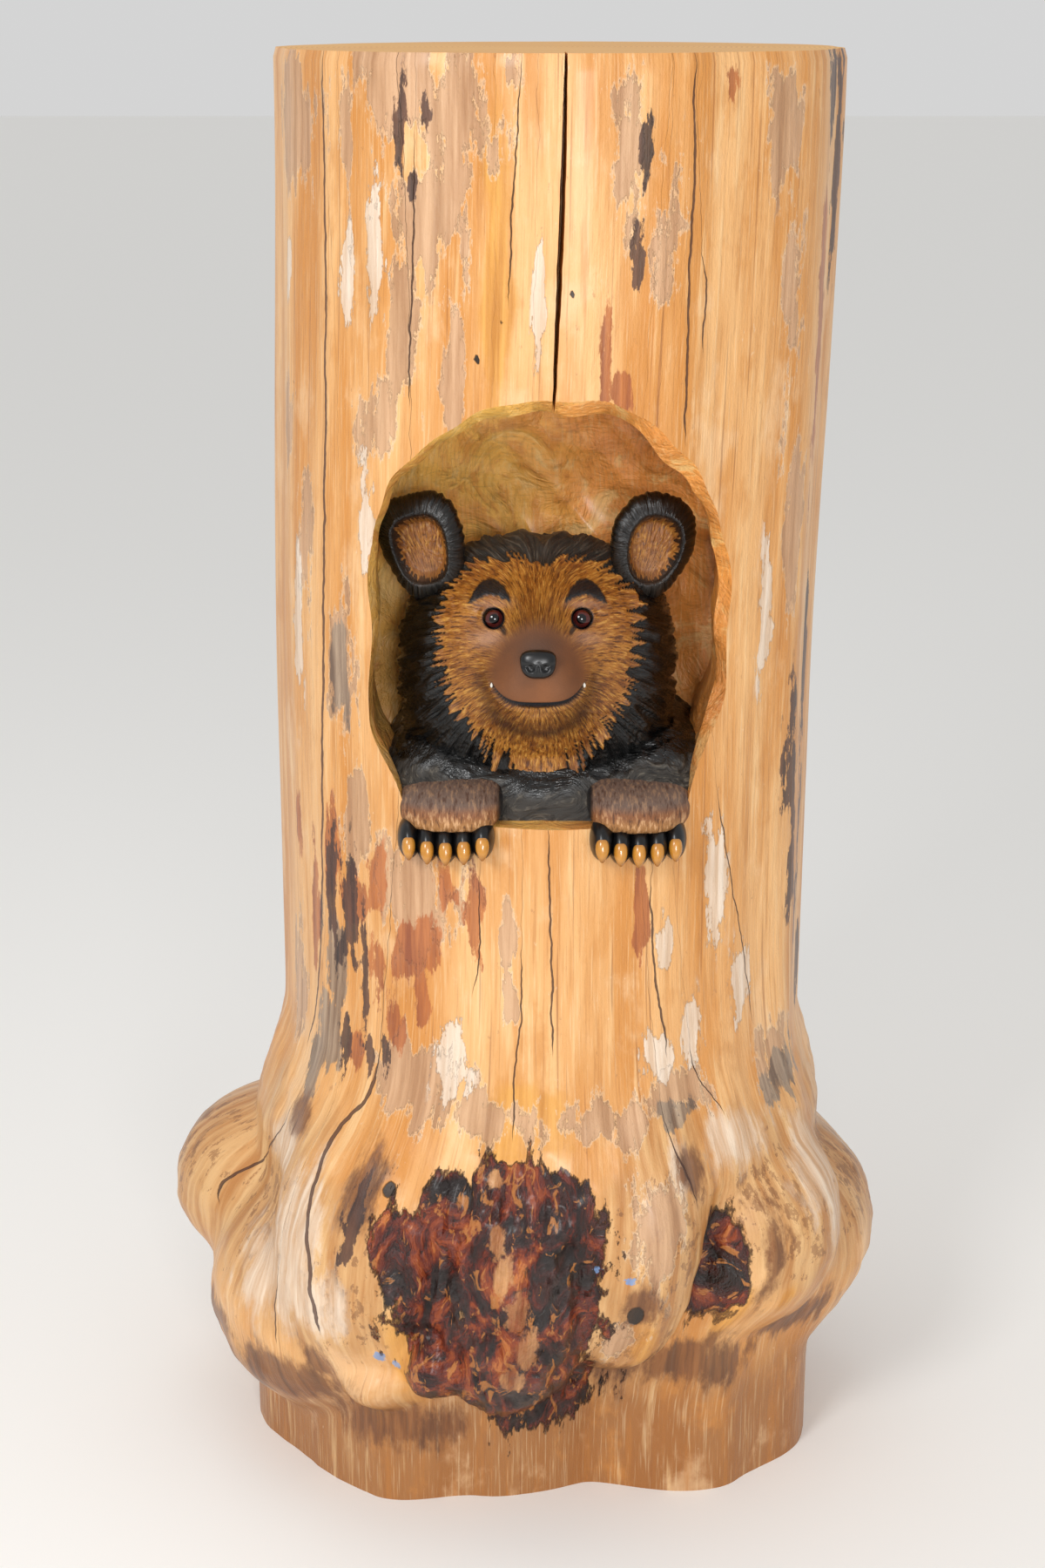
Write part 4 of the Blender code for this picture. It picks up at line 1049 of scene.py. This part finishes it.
EAR_SPREAD = 0.106
EAR_RISE = 0.110
EAR_HALF_WIDTH = 0.041
EAR_HALF_HEIGHT = 0.052
EAR_THICKNESS = 0.036
EAR_LEAN = math.radians(14)
EAR_TURN = math.radians(12)
for side in (-1, 1):
    bm = ball(240, 90)
    masks = {name: bm.verts.layers.float.new(name) for name in HEAD_MASKS}
    hair = bm.verts.layers.float_vector.new("hair")
    power = 3.0 if side < 0 else 2.4
    for vert in bm.verts:
        x, y, z = vert.co
        off_centre = math.hypot(x, z)
        around = math.atan2(z, x)
        cup = 0.95 * (1 - smoothstep(0.42, 0.68, off_centre)) if y < 0 else 0.0
        square = (abs(math.cos(around)) ** power + abs(math.sin(around)) ** power) ** (-1 / power)
        comb = noise.noise(Vector((11 * math.cos(around), 11 * math.sin(around), off_centre * 1.2 + side)))
        # The ear narrows to its root, and its fluff fans up from there.
        root = 1 - 0.26 * smoothstep(0.25, -1.0, z)
        fan = math.atan2(x, z + 1.3)
        up = math.hypot(x, z + 1.3)
        rim = smoothstep(0.52, 0.70, off_centre) if y < 0 else 1.0
        swell = 1 + 0.045 * comb * rim * smoothstep(0.3, 0.9, off_centre)
        depth = EAR_THICKNESS / 2 * (y + cup + 0.07 * (1 - rim) * strand(3 * fan, 0.05 * up, 0.006, 0.010))
        fluff_edge = off_centre + 0.10 * comb + 0.06 * noise.noise(Vector((40 * fan, up * 9, 2)))
        vert[masks["golden"]] = 1 - smoothstep(0.52, 0.58, fluff_edge) if y < 0 else 0.0
        # Painted shade inside the cup, towards its upper rim
        vert[masks["painted_shade"]] = 0.6 * (1 - rim) * smoothstep(0.34, 0.60, off_centre) * smoothstep(-0.2, 0.5, z)
        vert[masks["dust"]] = 0.25 * rim * smoothstep(0.2, -0.9, z)
        vert[masks["pale"]] = 0.40 * (1 - rim) * hill(x, z, 0.1 * side, -0.35, 0.3, 0.3)
        if rim < 0.5:
            vert[hair] = (34 * fan, 0, up * 7 + 9 * side)
        else:
            vert[hair] = (20 * math.cos(around), 20 * math.sin(around), off_centre * 2 + 7 * side)
        across = EAR_HALF_WIDTH * x * square * swell * root
        vert.co = (across, depth * swell, EAR_HALF_HEIGHT * z * square * swell)
    turn = Matrix.Rotation(side * EAR_LEAN, 4, "Y") @ Matrix.Rotation(side * EAR_TURN, 4, "Z")
    y = -0.5 * EAR_THICKNESS - HEAD_SETBACK
    place_ear = Matrix.Translation((BEAR_X + side * EAR_SPREAD, y, HEAD_HEIGHT + EAR_RISE))
    bmesh.ops.transform(bm, verts=bm.verts, matrix=place_ear @ turn)
    ear = keep("bear_ear_" + ("left" if side < 0 else "right"), bm, fur)
    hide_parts("carved_log")
    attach(ear, "root")

# The chest
#
# Chest and shoulders fill the niche above the sill, in one with the log; their fur is cut in curling
# strokes and dry-brushed grey.

CHEST_SETBACK = 0.028
CHEST_HALF_HEIGHT = 0.100
bm = ball(320, 120)
masks = {name: bm.verts.layers.float.new(name) for name in HEAD_MASKS}
hair = bm.verts.layers.float_vector.new("hair")
front = front_of_log(NICHE_X, SILL_HEIGHT) + CHEST_SETBACK
half_depth = (back - front) / 2 + NICHE_DISH / 2
moves = {}
for vert in bm.verts:
    x, y, z = (math.copysign(abs(c) ** 0.55, c) for c in vert.co)
    hunch = 0.22 * hill(abs(x), 0, 0.72, 0, 0.3, 1) + 0.25 * max(0.0, y) if z > 0 else 0
    vert.co = (
        NICHE_X + NICHE_WIDTH * 0.5 * x,
        front + half_depth * (1 + y) + 0.12 * CHEST_HALF_HEIGHT * max(0.0, z),
        SILL_HEIGHT + CHEST_HALF_HEIGHT * (z * (0.7 + hunch) - 0.12),
    )
    # The strokes stream down and outwards from under the chin, and curl.
    away_x, away_z = vert.co.x - BEAR_X, vert.co.z - 0.86 - 0.7 * (vert.co.y - front)
    fan = 0.9 * max(-1.0, min(1.0, away_x / 0.12)) + 0.15 * noise.noise(vert.co * 22)
    beside = away_x * math.cos(fan) + away_z * math.sin(fan)
    down = away_z * math.cos(fan) - away_x * math.sin(fan)
    cut = noise.noise(Vector((beside / 0.0050, vert.co.y / 0.012, down / 0.018)))
    moves[vert] = 0.0024 * (1 - 2 * abs(cut))
    vert[hair] = (beside / 0.0021, vert.co.y / 0.005, down / 0.0085)
    # Black locks hang from the mane in a vee, and the grey is brushed on below them.
    ragged = 0.012 * noise.noise(Vector((beside / 0.005, down / 0.03, 1)))
    vee = 0.756 + 0.24 * abs(away_x) + ragged
    vert[masks["dust"]] = 0.9 * smoothstep(0.006, -0.008, vert.co.z - vee)
    # The beard's golden tip lies over them.
    if vert.co.z > 0.773 + 0.6 * abs(away_x) + 1.3 * ragged and vert.co.y < -0.12:
        vert[masks["golden"]] = 1.0
        moves[vert] += 0.0025
bm.normal_update()
if bm.calc_volume(signed=True) < 0:
    bmesh.ops.reverse_faces(bm, faces=bm.faces)
    bm.normal_update()
for vert, move in moves.items():
    vert.co += vert.normal * move
chest = keep("bear_chest", bm, fur)
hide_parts("carved_log")
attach(chest, "root")

# The paws
#
# Each paw lies over the sill: a furred pad, dusty brown above and pale below, with five black toes.

PAW_X = 0.021
PAW_SPREAD = 0.089
PAW_WIDTH = 0.100
PAW_HEIGHT = 0.044
PAW_PROUD = 0.026
PAW_REACH_BACK = 0.105
TOES = 5
TOE_SPREAD = 0.0855
TOES_ASIDE = 0.003
CLAW_LENGTH = 0.025
CLAW_LEAN = math.radians(14)


def paw_front(x):
    return front_of_log(x, SILL_HEIGHT) - PAW_PROUD


paw_fur, tree, shader = finish("painted_paw_fur")
# Dry-brushed strokes down the paw: mauve-brown dust on top, tan and cream tips above the toes.
hairs = add(tree, "Attribute", output="Vector", attribute_name="hair")
strokes = add(tree, "TexNoise", {"Vector": hairs, "Scale": 1.0, "Detail": 3, "Roughness": 0.6}, output="Fac")
mask = {name: add(tree, "Attribute", output="Fac", attribute_name=name) for name in ("low", "ink")}
paint = linear("6C564A")
layers = (
    (mask["low"], 0.15, 0.50, 1.0, "85522E"),
    (mask["low"], 0.50, 0.85, 1.0, "A3713F"),
)
paint = tint(tree, paint, layers)
tips = add(tree, "MapRange", {0: strokes, 1: 0.50, 2: 0.64}, **SMOOTH)
pale_below = add(tree, "MapRange", {0: mask["low"], 1: 0.35, 2: 0.75, 3: 0.25, 4: 0.9})
tips = add(tree, "Math", {0: tips, 1: pale_below}, operation="MULTIPLY")
paint = add(tree, "Mix", {0: tips, 6: paint, 7: linear("D2A274")}, output=2, data_type="RGBA")
gaps = add(tree, "MapRange", {0: strokes, 1: 0.46, 2: 0.34, 4: 0.75}, **SMOOTH)
paint = add(tree, "Mix", {0: gaps, 6: paint, 7: linear("4A2A18")}, output=2, data_type="RGBA")
paint = add(tree, "Mix", {0: mask["ink"], 6: paint, 7: linear("121013")}, output=2, data_type="RGBA")
tree.links.new(paint, shader.inputs["Base Color"])
relief = add(tree, "Math", {0: strokes, 1: 0.0018}, operation="MULTIPLY")
tree.links.new(add(tree, "Bump", {"Height": relief, "Distance": 1.0}), shader.inputs["Normal"])
tree.links.new(add(tree, "MapRange", {0: mask["ink"], 3: 0.62, 4: 0.28}), shader.inputs["Roughness"])

horn, tree, shader = finish("amber_claw_varnish")
# Claws stained amber under gloss varnish, darker at the root and the tip.
down = add(tree, "Attribute", output="Fac", attribute_name="down")
place = add(tree, "TexCoord", output="Object")
spots = add(tree, "TexNoise", {"Vector": place, "Scale": 130, "Detail": 3}, output="Fac")
paint = add(tree, "Mix", {0: spots, 6: linear("B0701C"), 7: linear("D2943A")}, output=2, data_type="RGBA")
for low, high, colour in ((0.30, 0.0, "8C5A34"), (0.70, 1.0, "8A5216")):
    spread = add(tree, "MapRange", {0: down, 1: low, 2: high, 4: 0.8}, **SMOOTH)
    paint = add(tree, "Mix", {0: spread, 6: paint, 7: linear(colour)}, output=2, data_type="RGBA")
tree.links.new(paint, shader.inputs["Base Color"])
shader.inputs["Roughness"].default_value = 0.25
shader.inputs["Coat Weight"].default_value = 0.5

for side in (-1, 1):
    name = "left" if side < 0 else "right"
    middle = PAW_X + side * PAW_SPREAD
    base = SILL_HEIGHT - 0.19 * PAW_HEIGHT
    bm = ball(220, 90)
    low_at, ink_at = (bm.verts.layers.float.new(layer) for layer in ("low", "ink"))
    hair = bm.verts.layers.float_vector.new("hair")
    for vert in bm.verts:
        x, y, z = (math.copysign(abs(c) ** 0.62, c) for c in vert.co)
        at_x = middle + PAW_WIDTH / 2 * x
        y_front = paw_front(at_x) + 0.38 * PAW_PROUD * abs(x) ** 3
        at_y = y_front + PAW_REACH_BACK * (1 + y) / 2 + 0.27 * PAW_HEIGHT * max(0.0, z)
        at_z = base + PAW_HEIGHT * ((1 + z) / 2 - 0.09 * x * side)
        cut = noise.noise(Vector((at_x * 190, at_y * 60, at_z * 45)))
        vert.co = (at_x, at_y, at_z + 0.0010 * cut)
        vert[low_at] = smoothstep(0.95, -0.9, z) * smoothstep(0.9, 0.0, 1 + y)
        side_ink = smoothstep(0.86, 0.97, abs(x) + 0.03 * cut)
        vert[ink_at] = max(side_ink, smoothstep(-0.72, -0.92, z + 0.10 * cut))
        vert[hair] = (at_x / 0.0030, at_y / 0.012, at_z / 0.011)
    paw = keep("paw_" + name, bm, paw_fur)
    pitch = TOE_SPREAD / TOES
    toes, claws = bmesh.new(), bmesh.new()
    down_at = claws.verts.layers.float.new("down")
    for toe in range(TOES):
        step = toe - (TOES - 1) / 2
        x = middle - TOES_ASIDE + pitch * step
        z = base + PAW_HEIGHT * (0.028 * step * step - 0.04 * step * side - 0.22)
        y = paw_front(x)
        lie = Matrix.Translation((x, y + 0.92 * PAW_PROUD, z))
        size = Matrix.Diagonal((pitch * 0.66, 0.94 * PAW_PROUD, 0.46 * PAW_HEIGHT, 1))
        stand = Matrix.Rotation(math.pi / 2, 4, "X")
        bmesh.ops.create_uvsphere(toes, u_segments=48, v_segments=28, radius=1, matrix=lie @ size @ stand)
        lie = Matrix.Translation((x, y + 0.15 * PAW_PROUD, z - 0.09 * PAW_HEIGHT))
        lie = lie @ Matrix.Rotation(-CLAW_LEAN, 4, "X")
        size = Matrix.Diagonal((pitch * 0.37, 0.3 * CLAW_LENGTH, CLAW_LENGTH / 2, 1))
        made = bmesh.ops.create_uvsphere(claws, u_segments=32, v_segments=24, radius=1, matrix=stand)
        for vert in made["verts"]:
            vert.co = [math.copysign(abs(c) ** 0.86, c) for c in vert.co]
            vert[down_at] = 0.5 - vert.co.z / 2
            vert.co.x *= 1 - 0.38 * smoothstep(0.0, -1.0, vert.co.z)
            vert.co = lie @ size @ vert.co
    for piece in (paw, keep("toes_" + name, toes, enamel), keep("claws_" + name, claws, horn)):
        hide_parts("carved_log")
        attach(piece, "root")

# The eyes
#
# Bought taxidermy eyes of solid glass, brown-red with a black pupil, set into drilled sockets.

EYE_RADIUS = 0.011
EYE_PROUD = 0.005
glass, tree, shader = finish("brown_eye_glass")
# Flame-worked glass: colour lies under a clear dome, so the surface is smooth and mirrors the lights.
from_pupil = add(tree, "Attribute", output="Fac", attribute_name="from_pupil")
place = add(tree, "TexCoord", output="Object")
veins = add(tree, "TexNoise", {"Vector": place, "Scale": 420, "Detail": 2}, output="Fac")
paint = add(tree, "Mix", {0: veins, 6: linear("340F0D"), 7: linear("5E201A")}, output=2, data_type="RGBA")
# The pupil is 9 mm across and the iris 16 mm.
for low, high in ((0.0050, 0.0042), (0.0074, 0.0084)):
    spread = add(tree, "MapRange", {0: from_pupil, 1: low, 2: high}, **SMOOTH)
    paint = add(tree, "Mix", {0: spread, 6: paint, 7: linear("070506")}, output=2, data_type="RGBA")
tree.links.new(paint, shader.inputs["Base Color"])
shader.inputs["Roughness"].default_value = 0.04
shader.inputs["IOR"].default_value = 1.52
for side, name in ((-1, "left"), (1, "right")):
    x, z = side * EYE_SPREAD, EYE_RISE
    bm = ball(96, 64)
    from_pupil_at = bm.verts.layers.float.new("from_pupil")
    for vert in bm.verts:
        off = math.hypot(vert.co.x, vert.co.z)
        vert[from_pupil_at] = EYE_RADIUS * (off if vert.co.y < 0 else 2 - off)
    centre = head_to_world @ Vector((x, skin(x, z) + EYE_RADIUS - EYE_PROUD, z))
    into_socket = Matrix.Translation(centre) @ Matrix.Rotation(-HEAD_TILT, 4, "X")
    bmesh.ops.transform(bm, verts=bm.verts, matrix=into_socket @ Matrix.Scale(EYE_RADIUS, 4))
    eye = keep("eye_" + name, bm, glass)
    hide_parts("glass_eye_" + name)
    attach(eye, "root")

# The studio
#
# A plain pale floor that runs back out of sight, and broad soft lights as the picture has them.

bm = bmesh.new()
bmesh.ops.create_grid(bm, x_segments=1, y_segments=1, size=30)
floor = keep("floor", bm)
plain, tree, shader = finish("pale_floor")
shader.inputs["Base Color"].default_value = linear("FAF9F6")
shader.inputs["Roughness"].default_value = 0.9
floor.data.materials.append(plain)

world = bpy.data.worlds.new("studio")
world.use_nodes = True
world.node_tree.nodes["Background"].inputs["Color"].default_value = (1, 1, 1, 1)
world.node_tree.nodes["Background"].inputs["Strength"].default_value = 0.66
bpy.context.scene.world = world
bpy.context.scene.view_settings.view_transform = "Standard"
for name, power, size, place, aim in (
    ("key", 38, 0.8, (-1.3, -2.6, 2.4), (0, 0, 0.80)),
    ("front", 27, 0.6, (0.35, -3.2, 1.35), (0, 0, 0.85)),
    ("top", 8, 1.6, (-0.5, 0.4, 3.4), (0, 0, 0.9)),
):
    light = bpy.data.lights.new(name, "AREA")
    light.energy = power
    light.size = size
    lamp = bpy.data.objects.new(name, light)
    lamp.location = place
    lamp.rotation_euler = (Vector(aim) - Vector(place)).to_track_quat("-Z", "Y").to_euler()
    bpy.context.scene.collection.objects.link(lamp)

camera = bpy.data.cameras.new("camera")
camera.lens = 58.82
camera.sensor_width = 36
viewer = bpy.data.objects.new("camera", camera)
viewer.location = (0, -2.5, 1.47)
viewer.rotation_euler = (math.radians(72.8), 0, 0)
bpy.context.scene.collection.objects.link(viewer)
bpy.context.scene.camera = viewer
